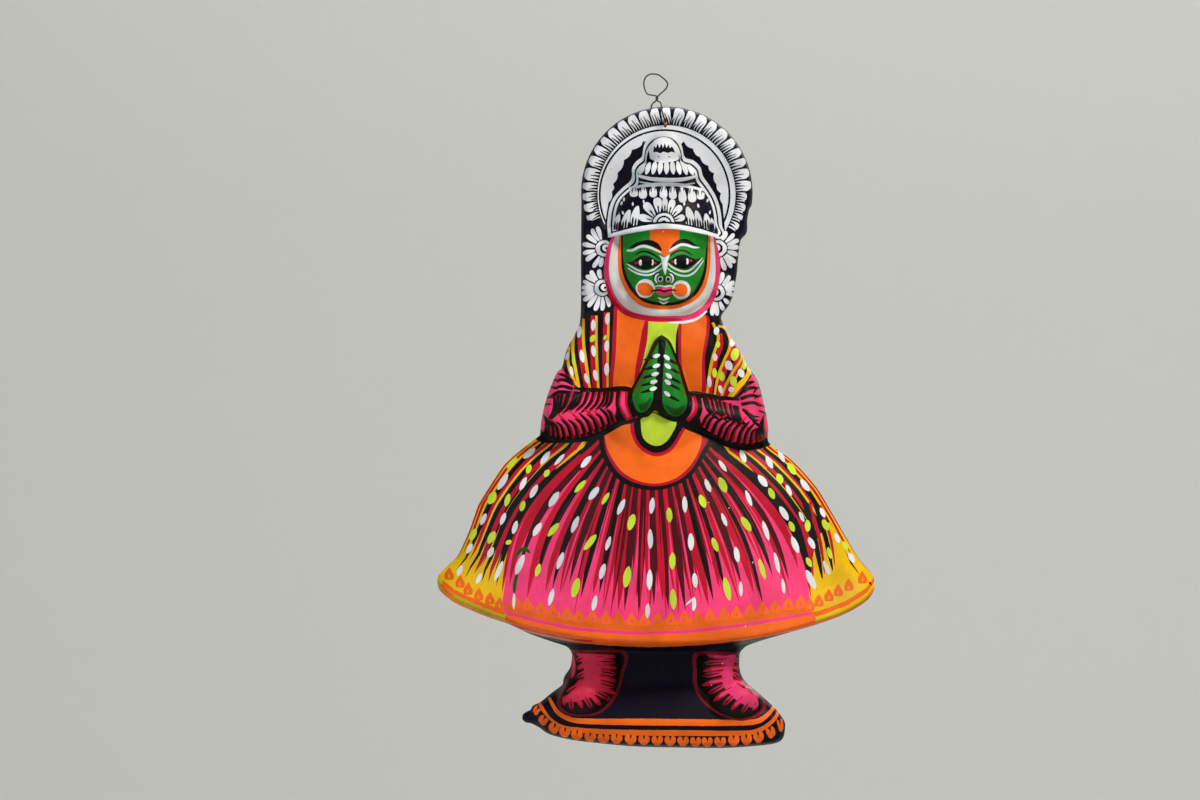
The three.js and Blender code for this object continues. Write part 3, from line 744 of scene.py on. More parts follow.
faceRings = dict(
    pink=[(-30.4, 311), (-34.2, 302), (-35.8, 289), (-34, 279), (-29, 269), (-20, 261.7), (-7.8, 258.7),
          (5.6, 258.7), (17.8, 260.2), (26.7, 265.6), (31.9, 273), (34.6, 283), (35.2, 293), (34, 302),
          (31.4, 311)],
    jaw=[(-28.6, 311.4), (-30.8, 305), (-32.2, 297), (-32.6, 289), (-31, 280), (-26.8, 271.6), (-19, 265),
         (-8, 262.4), (5, 262.2), (16, 263.2), (24, 267.8), (29, 274.8), (31.8, 284), (32.2, 293),
         (31.6, 302), (30.4, 311.4)],
    orange=[(-26.4, 311), (-27.2, 304), (-27.3, 295), (-26.5, 287.2), (-24.2, 281), (-20.8, 275),
            (-16.2, 270.3), (-10, 267.2), (0.8, 266), (10, 267.2), (17.7, 270.3), (23.1, 275), (26.5, 281),
            (28.4, 288.8), (29.1, 298.8), (28.8, 311.4)],
    black=[(-25.5, 311), (-25.4, 303), (-25.1, 294), (-24.2, 288), (-22, 282.2), (-18.6, 276.6), (-13.6, 272),
           (-7.6, 269.4), (0.8, 268.4), (9.4, 269.2), (16.4, 272.2), (21.4, 276.6), (24.8, 283), (26.6, 290),
           (27.3, 299), (27.3, 311.6)],
    green=[(-24.4, 311.2), (-24.3, 303), (-23.8, 295), (-22.5, 288.6), (-20.2, 283), (-16.6, 277.8),
           (-11.8, 273.4), (-6, 271), (0.8, 270.2), (8, 270.8), (14.6, 273.6), (19.6, 278), (22.8, 284),
           (25, 291), (25.9, 299), (26, 311.8), (13, 313.8), (0.8, 314.8), (-12, 313.4)],
)
# Each side of the face was painted on its own, and the two aren't alike.
faceSides = (
    dict(cheek=(-10.4, 278.5), cheekSpot=[(-15, 281), (-12.6, 282), (-9.4, 281.8), (-6.8, 280.2), (-5.2, 278),
                                          (-5.6, 275.8), (-7.8, 274.2), (-11.6, 274.2), (-14.4, 276),
                                          (-15.2, 278.8)],
         brow=[(-20.6, 303.2), (-17.7, 305.7), (-13.8, 307.3), (-9.6, 308.1), (-5.4, 307.3), (-2.3, 305),
               (-0.7, 301.3), (-3.8, 302.6), (-6.9, 304.2), (-10.8, 305.1), (-14.6, 304.5), (-17.7, 303.2)],
         browLine=[(-21.9, 301.7), (-18.5, 301.7), (-14.6, 303.7), (-11.2, 304.2), (-6.9, 303), (-3.5, 301.4),
                   (-0.8, 300.2)],
         lid=[(-17.2, 298.7), (-13.1, 300.8), (-9.2, 300.6), (-5.4, 298.8), (-1.2, 295.7)],
         eye=[(-22.4, 294.2), (-18.5, 294.9), (-15.8, 296.8), (-13.1, 298.3), (-9.8, 298.5), (-6.9, 297.3),
              (-3.8, 295.5), (-1.2, 293.9), (-3.8, 292.2), (-6.9, 290.7), (-10, 289.9), (-13.1, 290.4),
              (-16.2, 291.4), (-19.2, 292.9)],
         whites=((-13.6, 294, 2.0, 3.8), (-6.4, 294.2, 1.7, 3.6)),
         corners=((-15.9, 293.9, 2.8, 1.6), (-4.7, 293.8, 1.8, 1.3)),
         iris=(-9.7, 294.3), under=([(-21.9, 293.6), (-18.5, 291.4), (-14.6, 289.3), (-10.4, 288.6),
                                     (-6.2, 289.6), (-3.1, 291.7), (-0.2, 294.4)],
                                    [(-21.2, 291), (-17.7, 288.7), (-13.8, 287.1), (-9.2, 286.6),
                                     (-5.4, 287.7), (-0.6, 290.8)])),
    dict(cheek=(11.4, 278), cheekSpot=[(6.2, 277.8), (7.2, 280.2), (10.2, 281.7), (13.4, 281.2),
                                       (14.9, 279.2), (14.9, 276), (13.2, 274.2), (10, 274), (7.2, 275.6)],
         brow=[(3.8, 302), (5.8, 305.4), (8.8, 308), (13.1, 309), (16.9, 307.7), (20, 305.5), (22.9, 304.8),
               (19.2, 304.8), (15.4, 306), (11.9, 306), (8.5, 304.8), (5.8, 302.6)],
         browLine=[(3.6, 301.3), (6.9, 303.3), (10.8, 305.3), (14.6, 305.2), (18.1, 304.1), (22.3, 304)],
         lid=[(3.8, 297.6), (6.9, 300.5), (10.8, 301.8), (14.2, 301.2), (17.9, 299)],
         eye=[(3.0, 294.9), (6.2, 297.2), (9.2, 298.9), (13.1, 299.3), (16.2, 297.9), (20, 296.7),
              (23.8, 297.9), (20.8, 294.9), (17.7, 292.6), (14.6, 290.7), (11.5, 290.4), (7.7, 291.7),
              (5, 293.4)],
         whites=((7.7, 294.8, 1.7, 3.4), (14.6, 295.1, 2.1, 3.8)),
         corners=((5.9, 294.9, 2.2, 1.5), (16.6, 295.5, 2.6, 1.4)),
         iris=(11.2, 294.9), under=([(2.8, 293.9), (5.4, 291.7), (8.5, 290.1), (12.3, 289.1), (16.2, 289.8),
                                     (20, 293), (24.2, 297.8)],
                                    [(2.2, 291), (6.2, 288.3), (10.8, 286.6), (15.4, 286.6), (19.2, 288.7),
                                     (22.3, 292.5), (25, 296.5)])),
)


def paintFace():
    paint("pink", smooth(faceRings["pink"], 1.6), 0)
    # The crimson line round the lower left of the pink rim is painted shade, where the rim turns under the
    # chin away from the light.
    line("crimson", [(-34.2, 283), (-30.5, 272), (-22, 264), (-8, 260.4), (5, 260), (12, 260.2)], 3.0, 0.3,
         0.3)
    line("white", [(4, 258.2), (13, 258.5), (21, 260.6), (27.4, 265.6)], 1.7, 0.2, 0.5)
    for name in ("jaw", "orange", "black", "green"):
        paint(name, smooth(faceRings[name], 1.6))
    paint("orange", [(-7.9, 314), (0.8, 314.9), (9.9, 314.2), (9.8, 308.5), (5, 303.4), (9, 302.9),
                     (4.4, 300.2), (1.2, 297.8), (-1.6, 299.6), (-7.6, 302.6), (-2.8, 303.4), (-7.8, 308.6)])
    for side in faceSides:
        area("black", side["brow"], 10, 0.9)
        line("white", side["browLine"], 1.7, 0.7, 0.2, 1.0)
        line("black", side["lid"], 1.35, 0.2, 0.2, 1.0)
        area("black", side["eye"], 0, 0.9)
        for x, z, width, height in side["whites"]:
            spot("white", x, z, width, height)
        spot("black", side["iris"][0], side["iris"][1], 6.4, 7.4)
        for x, z, width, height in side["corners"]:
            spot("crimson", x, z, width, height)
        for under in side["under"]:
            line("white", under, 1.2, 0.35, 0.3, 1.0)
        x, z = side["cheek"]
        spot("white", x, z, 11.6, 11.4, count=20)
        area("orange", side["cheekSpot"], 40, 0.9)
    noseX = feature["nose"][0]
    for way in (-1, 1):
        line("white", [(noseX + way * 3.2, 287.5), (noseX + way * 5.2, 286), (noseX + way * 5.4, 283.6),
                       (noseX + way * 4.2, 281.9)], 1.3, 0.3, 0.3, 0.8)
        line("black", [(noseX + way * 2.2, 288.3), (noseX + way * 5, 287.8), (noseX + way * 6.4, 285),
                       (noseX + way * 6, 282.2)], 0.9, 0.3, 0.2, 0.8)
        spot("jaw", noseX + way * 2.4, 284.1, 3.3, 3.5)
        spot("black", noseX + way * 2.4, 284.1, 2.0, 2.2)
        line("darkGreen", [(noseX + way * 0.8, 286.4), (noseX + way * 2.6, 286.9),
                           (noseX + way * 4.2, 285.4)], 0.7, 0.4,
             0.3, 0.8)
    line("black", [(1, 286.6), (1.1, 284), (1.3, 281.2)], 0.6, 0.4, 0.3, 0.8)
    area("white", [(-2.4, 298.9), (0.8, 297.4), (4, 299.2), (3.5, 296.8), (2.7, 294.7), (2.8, 292),
                   (1.9, 288.8), (1.5, 286.4), (0.3, 289.2), (-0.5, 292), (-0.9, 295.6)], 90, 0.9)
    line("white", [(-4.8, 279.4), (-2.3, 280.3), (1.2, 279.8), (4.6, 280.3), (7.7, 279.2)], 1.0, 0.4, 0.4,
         0.8)
    area("pink", [(-4.2, 277.4), (-2.3, 279.4), (-0.4, 279.5), (1.1, 278.9), (2.7, 279.5), (4.6, 279.3),
                  (6.4, 277.6), (4.8, 275.4), (3, 274.6), (0.8, 274.4), (-2, 274.9), (-3.6, 276)], 0, 0.8)
    line("black", [(-7, 277), (-3.8, 277.5), (-1.5, 277.6), (0.9, 276.8), (3.5, 277.6), (6.2, 277.8),
                   (8.4, 277.3)],
         1.2, 0.6, 0.5, 0.8)
    line("white", [(-2.7, 273.2), (0.8, 271.9), (4.4, 273.2)], 1.3, 0.3, 0.3, 0.8)
    line("white", [(-1.9, 271.1), (0.8, 269.7), (3.8, 271)], 1.0, 0.3, 0.3, 0.8)
    line("white", [(-31.6, 310.8), (-24.6, 312.2), (-8, 315.2), (0.8, 316), (10, 315.5), (26.9, 312.7),
                   (34, 310.6)],
         2.4, 0.7, 0.6)


def paintVest():
    area("black", [(-52, 262), (-57, 238), (-62, 226), (-60, 214), (-30, 212), (30, 210), (56, 214),
                   (60, 224), (48, 244), (38, 260), (28, 262), (10, 255), (-10, 255), (-30, 264)])
    area("crimson", [(-29.3, 268), (-30.2, 240), (-30.4, 214), (-14, 212), (-9.2, 240), (-7.8, 262)])
    area("orange", [(-27.2, 266), (-27.8, 240), (-28.8, 217), (-18, 216), (-15.6, 232), (-12.6, 250),
                    (-11.4, 263)])
    area("crimson", [(10, 262), (10.2, 238), (12.8, 222), (18, 213), (27, 214), (26.4, 236), (28.4, 262)])
    area("orange", [(12.2, 262), (11.9, 240), (13.6, 226), (16.6, 216), (24.2, 215), (24.6, 236),
                    (26.7, 262)])
    area("lime", [(-8.2, 262), (-8.8, 248), (-11.4, 234), (-12.6, 224), (0, 214), (10, 224), (8.6, 238),
                  (8.6, 250), (9.2, 262)])


# The stripes of the cape fall from the shoulder and spread as they come down. Dabs have x, z, width,
# height and lean.
cape = dict(
    stripes=[
        ([(-34, 264), (-34.4, 242), (-34.2, 217)], "crimson", 3.2),
        ([(-42, 262), (-42, 242), (-40.2, 217)], "crimson", 3.2),
        ([(-50.2, 258), (-49.4, 242), (-45.4, 217)], "crimson", 3.0),
        ([(-55.4, 250), (-57, 234), (-52.4, 219)], "crimson", 2.0),
        ([(-32.4, 264), (-32.7, 242), (-32.6, 217.6)], "yellow", 1.5),
        ([(-39.9, 262), (-39.7, 242), (-38.2, 217.6)], "yellow", 1.7),
        ([(-47.8, 260), (-47.4, 244), (-43.4, 217.6)], "yellow", 1.8),
        ([(-52.8, 256), (-54, 240), (-49.6, 216.6)], "yellow", 2.0),
        ([(-56.2, 243), (-56.6, 232), (-51, 218)], "yellow", 1.8),
        ([(36, 252), (36.4, 245), (33.4, 236), (31.4, 226), (29.9, 214)], "crimson", 2.4),
        ([(43.4, 250), (41.6, 240), (38, 230), (35.8, 214)], "crimson", 4.2),
        ([(45.5, 250), (48, 241), (45.6, 231), (41.4, 219), (40, 213)], "crimson", 5),
        ([(53, 228), (49, 220), (44.4, 212)], "crimson", 3.4),
        ([(30.8, 258.6), (34, 252), (34.2, 247), (31.4, 238), (29.5, 228), (28, 214)], "yellow", 1.9),
        ([(34.4, 256.6), (39.6, 254.4), (41.8, 245), (38.4, 236), (34.6, 226), (32.5, 213)], "yellow", 1.7),
        ([(37.6, 257.4), (43, 252.6), (48.2, 243), (48.8, 237), (43.8, 229), (40, 222), (36.6, 213)],
         "yellow", 1.7),
        ([(49.8, 240), (50.2, 235), (47, 228), (43, 221.6)], "yellow", 1.1),
        ([(53.6, 232), (52.6, 226), (46, 219), (40.4, 211)], "yellow", 3.4)],
    white=[
        (-33.2, 260, 2.9, 7, 2), (-33.4, 243.5, 2.9, 7, 2), (-33.3, 229.4, 3.0, 8, 0),
        (-41.8, 256, 2.9, 7, 2), (-41.4, 240.4, 2.9, 7, -8), (-40, 225.6, 2.9, 7, -12),
        (-50.2, 252, 2.8, 7.5, 8), (-48.3, 237.2, 3, 8, -10), (-45.4, 223.6, 2.7, 6.5, -18),
        (-54.6, 228, 2.2, 6.5, -14), (-57.4, 237, 2.2, 5, 14), (33.3, 253.5, 3.3, 5.2, 12),
        (32.5, 237.6, 3, 5, -8), (29.3, 222.6, 2.7, 7.2, -6), (41, 232.6, 4.6, 6.2, -25),
        (36.2, 218, 2.6, 5.2, -18), (43.3, 247, 3.4, 6, 14), (42.6, 218, 3.5, 3.4, -30),
        (48.5, 228, 4, 5.6, -20)],
    lime=[
        (-34.4, 248.7, 1.8, 3.2, 25), (-42, 248, 3.2, 5, 30), (-53.6, 235.4, 1.8, 7.5, 0),
        (34.3, 245.4, 2.6, 4.2, 0), (32.4, 228, 3, 6, -5), (36.8, 226, 3.6, 6, -10), (44.7, 239.4, 5, 8, 12),
        (43.8, 223, 4.2, 6.6, -10), (50.7, 233.4, 3, 6.8, 8)],
)


def paintCape():
    for stripe, colour, width in cape["stripes"]:
        line(colour, stripe, width, 0.8, 0.8)
    for colour in ("white", "lime"):
        for x, z, width, height, lean in cape[colour]:
            spot(colour, x, z, width, height, lean, 0.2)


# Dark feather strokes on pink, from one edge inwards: crimson first, then black a little shorter
def feathers(pairs, width, bend=1.0):
    for colour, wide, reach, shift in (("crimson", width * 0.85, 1.0, 0.45), ("black", width, 0.93, -0.2)):
        for (x0, z0), (x1, z1) in pairs:
            x0, z0 = x0 + shaky(0.5), z0 + shaky(0.3)
            reachNow = reach * (1 + shaky(0.2))
            mid = (lerp(x0, x1, 0.5) - (z1 - z0) * 0.13 * bend,
                   lerp(z0, z1, 0.5) + (x1 - x0) * 0.13 * bend)
            line(colour, [(x0 + shift * width, z0), (mid[0] + shift * width * 0.7, mid[1]),
                          (lerp(x0, x1, reachNow) + shift * 0.3, lerp(z0, z1, reachNow))], wide, 1.0, 0.05,
                          1.2)


def rowOf(base, tips, count):
    return [(along(base, i / (count - 1)), along(tips, i / (count - 1))) for i in range(count)]


def paintArms():
    area("black", [(-62, 233), (-56.6, 227), (-51, 218.5), (-40, 217.6), (-18, 218), (-16, 199), (-24, 195),
                   (-40, 186.5), (-60, 184), (-76, 186), (-76, 200), (-71, 214), (-66, 227)], 0)
    area("black", [(57, 231), (50.4, 221), (46, 214.6), (38, 213), (16, 216), (12, 197), (24, 190), (40, 183),
                   (56, 181), (69, 186), (67, 198), (65, 212), (60, 225)], 0)
    area("pink", [(-60.6, 230.4), (-57.4, 225), (-52, 218), (-47, 215.4), (-38, 215.4), (-27.4, 215.2),
                  (-27, 208), (-29.6, 198.4), (-42, 192), (-56, 188.2), (-67, 188.8), (-73, 192.4),
                  (-73.4, 200), (-71.4, 208), (-68, 217), (-65, 226)], 10)
    area("pink", [(55.4, 227), (51.2, 220.6), (47.4, 213.4), (34, 210.8), (23.6, 212.4), (23.6, 206),
                  (25, 196), (35, 189.6), (48, 185.6), (59, 186), (65.4, 190), (65.6, 197), (64, 206),
                  (60.8, 216), (58, 224)], -15)
    feathers(rowOf([(-29.6, 216), (-52, 215.8)], [(-35, 203.8), (-61.6, 203)], 9), 1.9)
    feathers(rowOf([(-55, 215.8), (-64, 214)], [(-64.6, 201), (-71, 194.6)], 5), 1.9)
    feathers(rowOf([(-28.6, 197.4), (-38, 191.6), (-50, 187.6), (-62, 186.6), (-70, 189.4)],
                   [(-35, 206.6), (-46, 203.6), (-58, 200.6), (-68, 199.6), (-72, 203)], 13), 1.9, -1)
    feathers(rowOf([(-54.6, 221.4), (-53, 218.6), (-54, 214.8)],
                   [(-62.6, 226), (-66, 219.6), (-68.6, 211.6)], 4), 2.1, -1)
    feathers(rowOf([(-66.6, 223), (-72.6, 206)], [(-61.6, 220.4), (-66, 207.6)], 4), 1.3)
    feathers(rowOf([(26, 213.4), (36, 211), (46, 208)], [(33.4, 200.6), (44, 197), (54, 194)], 9), 1.9, -1)
    feathers(rowOf([(25.4, 195.6), (34, 189.4), (45, 185.2), (56, 184.6), (64, 189)],
                   [(33, 205), (42.6, 201.4), (52.4, 199), (60.6, 198), (62.8, 202)], 12), 1.9)
    feathers(rowOf([(50.4, 218), (48.4, 214.4), (49, 209)], [(57.6, 223.4), (60.6, 216.4), (63.2, 207.6)], 4),
             2.1)
    feathers(rowOf([(50, 206), (54, 203)], [(61.4, 201), (61.6, 195.4)], 3), 1.8, -1)
    feathers(rowOf([(60.6, 220), (65, 202)], [(56, 215.6), (59.4, 205)], 4), 1.3, -1)
    line("black", [(-53, 217.4), (-40, 216.8), (-28, 217), (-18, 217.4)], 2.4, 0.5, 0.8)
    line("black", [(47.6, 212), (36, 213), (26, 214.6), (16, 215.6)], 2.6, 0.6, 0.8)
    for wrist, width, colour in (
            ([(-25.6, 216), (-25.8, 208), (-22.4, 197.6)], 3.8, "black"),
            ([(-22.4, 216.2), (-23, 208), (-19, 199)], 5.4, "crimson"),
            ([(-22.9, 215.6), (-23.2, 208), (-19.6, 200.4)], 2.6, "pink"),
            ([(-19, 216.4), (-19.4, 208), (-15.6, 201.6)], 2.0, "black"),
            ([(22.4, 213.6), (23.2, 205), (19.6, 197)], 3.6, "black"),
            ([(18.6, 213.4), (19.8, 206), (15.4, 199)], 4.8, "crimson"),
            ([(18.6, 212.4), (19.4, 206), (16, 200.4)], 2.0, "pink")):
        line(colour, wrist, width, 0.8, 0.7)


def paintHands():
    area("black", [(-0.2, 250.6), (-4.6, 247), (-9, 237), (-14.8, 224), (-19.6, 214.6), (-19.4, 206.6),
                   (-14.6, 201), (-8, 200.8), (-4, 204.6), (0, 201.6), (5, 198.6), (12, 198), (17.6, 202.6),
                   (19, 210.6), (16.4, 218), (12, 231), (7.8, 241), (4.6, 247.4)], 80)
    area("green", [(-2.2, 246), (-6, 238.5), (-11.7, 226.5), (-17, 216), (-16.8, 209), (-13.4, 203.4),
                   (-8.4, 205.2), (-5.4, 211), (-4.6, 217.6), (-2.6, 230)], 70)
    area("green", [(2.4, 247.4), (5, 243.5), (9.2, 233.5), (13.2, 220), (15.8, 211), (14, 204.4),
                   (9.4, 201.2), (4.5, 203), (1, 208.4), (0.6, 217), (1.2, 232)], 110)
    # Dark green at the bottom of each palm is painted shade, where the hands turn under.
    area("darkGreen", [(-14, 208), (-12.4, 204.4), (-8.4, 206), (-6, 210.6), (-6.4, 213), (-9.6, 209.4)], 30)
    area("darkGreen", [(2, 208.4), (5, 203.6), (9, 201.8), (13.4, 204.4), (14.4, 208), (9, 206), (5, 207)], 0)
    line("black", [(-0.6, 247), (-1.4, 232), (-2, 218), (-3.6, 204.6)], 3.2, 0.4, 0.8)
    for side, nails in ((-1, [(-3.3, 237.7), (-3.3, 231.7), (-4, 226.7), (-4.7, 222), (-5, 217.8)]),
                        (1, [(3, 236.8), (3.6, 231.5), (4.3, 225.7), (3.7, 221.8), (3.4, 214.8)])):
        for x, z in nails:
            fall = 2.6 if side < 0 else 4.6
            line("black", [(x - side * 2, z + 0.4), (x + side * 3.4, z - fall * 0.5),
                           (x + side * 8, z - fall)], 1.9,
                 0.6, 0.05)
            spot("white", x, z, 2.5, 4.8, 72 if side < 0 else -52, 0.3)


def paintBib():
    area("black", [(-38, 196), (-36, 178), (-26, 163), (-12, 157), (2, 157), (16, 163), (26, 176), (29, 196)],
         0)
    area("crimson", [(-35, 197), (-33, 179), (-24, 165.4), (-11, 159.6), (2, 159.4), (14.6, 165),
                     (23.6, 177.4), (26, 196)], 0)
    area("orange", [(-34, 189), (-31.4, 179), (-22.8, 167), (-10.6, 161.2), (1.6, 161), (13.4, 166.6),
                    (22.4, 178.4), (24.4, 190), (13, 196), (-20, 197)], 0)
    for colour, grow in (("crimson", 6.4), ("black", 4.2), ("lime", 0)):
        area(colour, [(-12.4 - grow, 199), (-11.4 - grow, 190), (-8.6 - grow * 0.7, 185.6 - grow * 0.6),
                      (-3.4, 183.2 - grow), (1.8 + grow * 0.7, 184.6 - grow * 0.7), (6.4 + grow, 190),
                      (9 + grow, 199), (-4, 205)], 80)
    line("darkGreen", [(-7, 202.4), (-4, 203.6), (3, 199.4)], 1.0, 0.2, 0.1)


# The hem as it is seen, and the pleats that fan down to it from round the belly: where they start and
# end, the half turn that they cover, and how far the outer ones bow.
hem = [(-134, 93), (-124.6, 86), (-111.7, 80.4), (-100.6, 76.3), (-91.3, 73.4), (-71, 68.6), (-52.4, 65.2),
       (-30, 63.7), (-10, 63), (12.4, 64.1), (34.6, 66.3), (58.7, 69.6), (77, 72.6), (97.6, 75.9),
       (114.3, 82), (127, 89.6), (132, 96)]
pleats = dict(count=20, halfTurn=82, topX=-4, topZ=189, topWide=34, topDeep=31, lowX=-1, lowWide=94,
              aboveHem=9, bow=15)


def hemZ(x):
    return float(np.interp(x, [p[0] for p in hem], [p[1] for p in hem]))


def pleatSpot(place, down):
    turn = place * math.radians(pleats["halfTurn"])
    topX = pleats["topX"] + pleats["topWide"] * math.sin(turn)
    topZ = pleats["topZ"] - pleats["topDeep"] * math.cos(turn)
    lowX = pleats["lowX"] + pleats["lowWide"] * place
    bow = pleats["bow"] * place ** 3 * math.sin(math.pi * min(down, 1))
    return (lerp(topX, lowX, down) + bow, lerp(topZ, hemZ(lowX) + pleats["aboveHem"], down) + abs(bow) * 0.35)


# A feather stroke starts blunt, keeps its width and runs out over its last part, the tail.
def taper(part, blunt, tail, power):
    return min(1, blunt + part * 2) * max(1 - max(part - (1 - tail), 0) / tail, 0) ** power


def pleat(colour, place, start, end, width, blunt=0.9):
    stations = []
    steps = 13
    for i in range(steps + 1):
        part = i / steps
        down = lerp(start, end, part)
        x, z = pleatSpot(place, down)
        nextX, nextZ = pleatSpot(place, down + 0.02)
        spread = lerp(0.55, 1.05, min(down * 1.3, 1))
        half = max(width / 2 * spread * taper(part, blunt, 0.45, 0.8) * (1 + shaky(0.06)), 0.05)
        stations.append(((x, z), (nextX - x, nextZ - z), half))
    ribbon(colour, stations, headingOf(pleatSpot(place, start), pleatSpot(place, end)))


def paintPanel():
    area("pink", [pleatSpot(-1, d / 8) for d in range(9)] + [(-93, 74), (-60, 68), (-30, 66), (0, 65),
                                                             (30, 67),
                  (60, 70), (94, 76)] + [pleatSpot(1, 1 - d / 8) for d in range(9)] + [(0, 184)], 90)
    area("black", [pleatSpot(-1.0 + 0.1 * i, 0.12 + 0.03 * math.sin(i)) for i in range(21)]
         + [(30, 190), (0, 188), (-38, 190)], 90)
    # Wide dark strokes with crimson ones between them, then thin pink ones where the ground shows
    count = pleats["count"]
    for i in range(count):
        place = -0.965 + 1.93 * i / (count - 1)
        pleat("crimson", place + shaky(0.01), -0.04, 0.83 + shaky(0.08), 7.2)
    for i in range(count):
        place = -0.925 + 1.93 * i / (count - 1)
        dark = "black" if abs(place) > 0.3 and i % 3 else "maroon"
        pleat(dark, place + shaky(0.012), -0.04, 0.84 + shaky(0.09), 5.4)
    for i in range(count - 1):
        place = -0.9 + 1.93 * i / (count - 1)
        if i % 3:
            pleat("pink", place + 0.03 + shaky(0.012), 0.03 + shaky(0.1) + 0.1 * (i % 2), 0.95,
                  1.5 + shaky(0.6), 0.1)
        if i % 2:
            pleat("maroon", place + shaky(0.03), 0.2 + shaky(0.1), 0.7 + shaky(0.1), 1.3, 0.2)
            pleat("crimson", place + 0.07 + shaky(0.03), 0.15, 0.86 + shaky(0.08), 1.7, 0.2)


# The sides of the skirt, from the last pleat out to the figure's edge. A stroke has its place across,
# its top, its low end and its width.
flapStrokes = (
    ("crimson", 0.02, 188, 92, 5), ("crimson", 0.25, 188, 99, 6.4), ("crimson", 0.5, 188, 104, 7),
    ("crimson", 0.72, 186, 112, 4.6), ("crimson", 0.9, 186, 116, 3), ("black", 0.12, 188, 97, 5),
    ("black", 0.35, 188, 99, 4.6), ("black", 0.6, 188, 101, 3.8), ("black", 0.8, 187, 106, 3.8),
    ("crimson", 0.985, 182, 108, 1.4), ("yellow", 0.43, 186, 118, 1.6), ("yellow", 0.67, 184, 120, 1.6),
    ("yellow", 0.88, 182, 120, 1.6), ("black", 0.18, 166, 104, 1.8), ("black", 0.45, 170, 108, 1.6),
    ("yellow", 0.17, 186, 168, 2.0),
)


def edgeX(side, z):
    spots = sorted(outlineLeft[7:17] if side < 0 else outlineRight[19:28], key=lambda p: p[1])
    return float(np.interp(z, [p[1] for p in spots], [p[0] for p in spots]))


def flapSpot(side, across, z):
    inner = [pleatSpot(side, d / 12) for d in range(13)][::-1]
    innerX = float(np.interp(z, [p[1] for p in inner], [p[0] for p in inner]))
    return (lerp(innerX, edgeX(side, z), across), z)


def flapStroke(colour, side, across, top, low, width):
    stations = []
    steps = 12
    for i in range(steps + 1):
        part = i / steps
        x, z = flapSpot(side, across, lerp(top, low, part))
        nextX, nextZ = flapSpot(side, across, lerp(top, low, part) - 1)
        half = width / 2 * lerp(0.6, 1.1, part) * taper(part, 0.7, 0.5, 0.75) * (1 + shaky(0.06))
        stations.append(((x, z), (nextX - x, nextZ - z), max(half, 0.05)))
    ribbon(colour, stations, headingOf((0, top), (side * 40, low)))


def paintFlaps():
    for side in (-1, 1):
        inner = [flapSpot(side, -0.02, 188 - 9 * i) for i in range(11)]
        outer = [flapSpot(side, 1.1, 98 + 9 * i) for i in range(11)]
        area("yellow", inner + [(side * 94, 76), (side * 114, 78), (side * 138, 92),
                                (side * 140, 100)] + outer, 60)
        for colour, across, top, low, width in flapStrokes:
            flapStroke(colour, side, across + shaky(0.01), top, low, width)
    area("yellow", [(104, 138), (97, 128), (93, 112), (97, 100), (118, 104), (112, 124)], 60)
    for x0, z0, x1, z1, width in ((88, 150, 99.6, 103, 3.4), (95, 148, 106, 108, 3.0),
                                  (82, 140, 92.6, 101, 4)):
        line("black", [(x0, z0), (lerp(x0, x1, 0.6), lerp(z0, z1, 0.5)), (x1, z1)], width, 0.7, 0.04)
        line("crimson", [(x0 + 3.4, z0), (lerp(x0, x1, 0.6) + 3, lerp(z0, z1, 0.5)), (x1 + 1.4, z1 + 3)],
             width * 0.6, 0.6, 0.04)


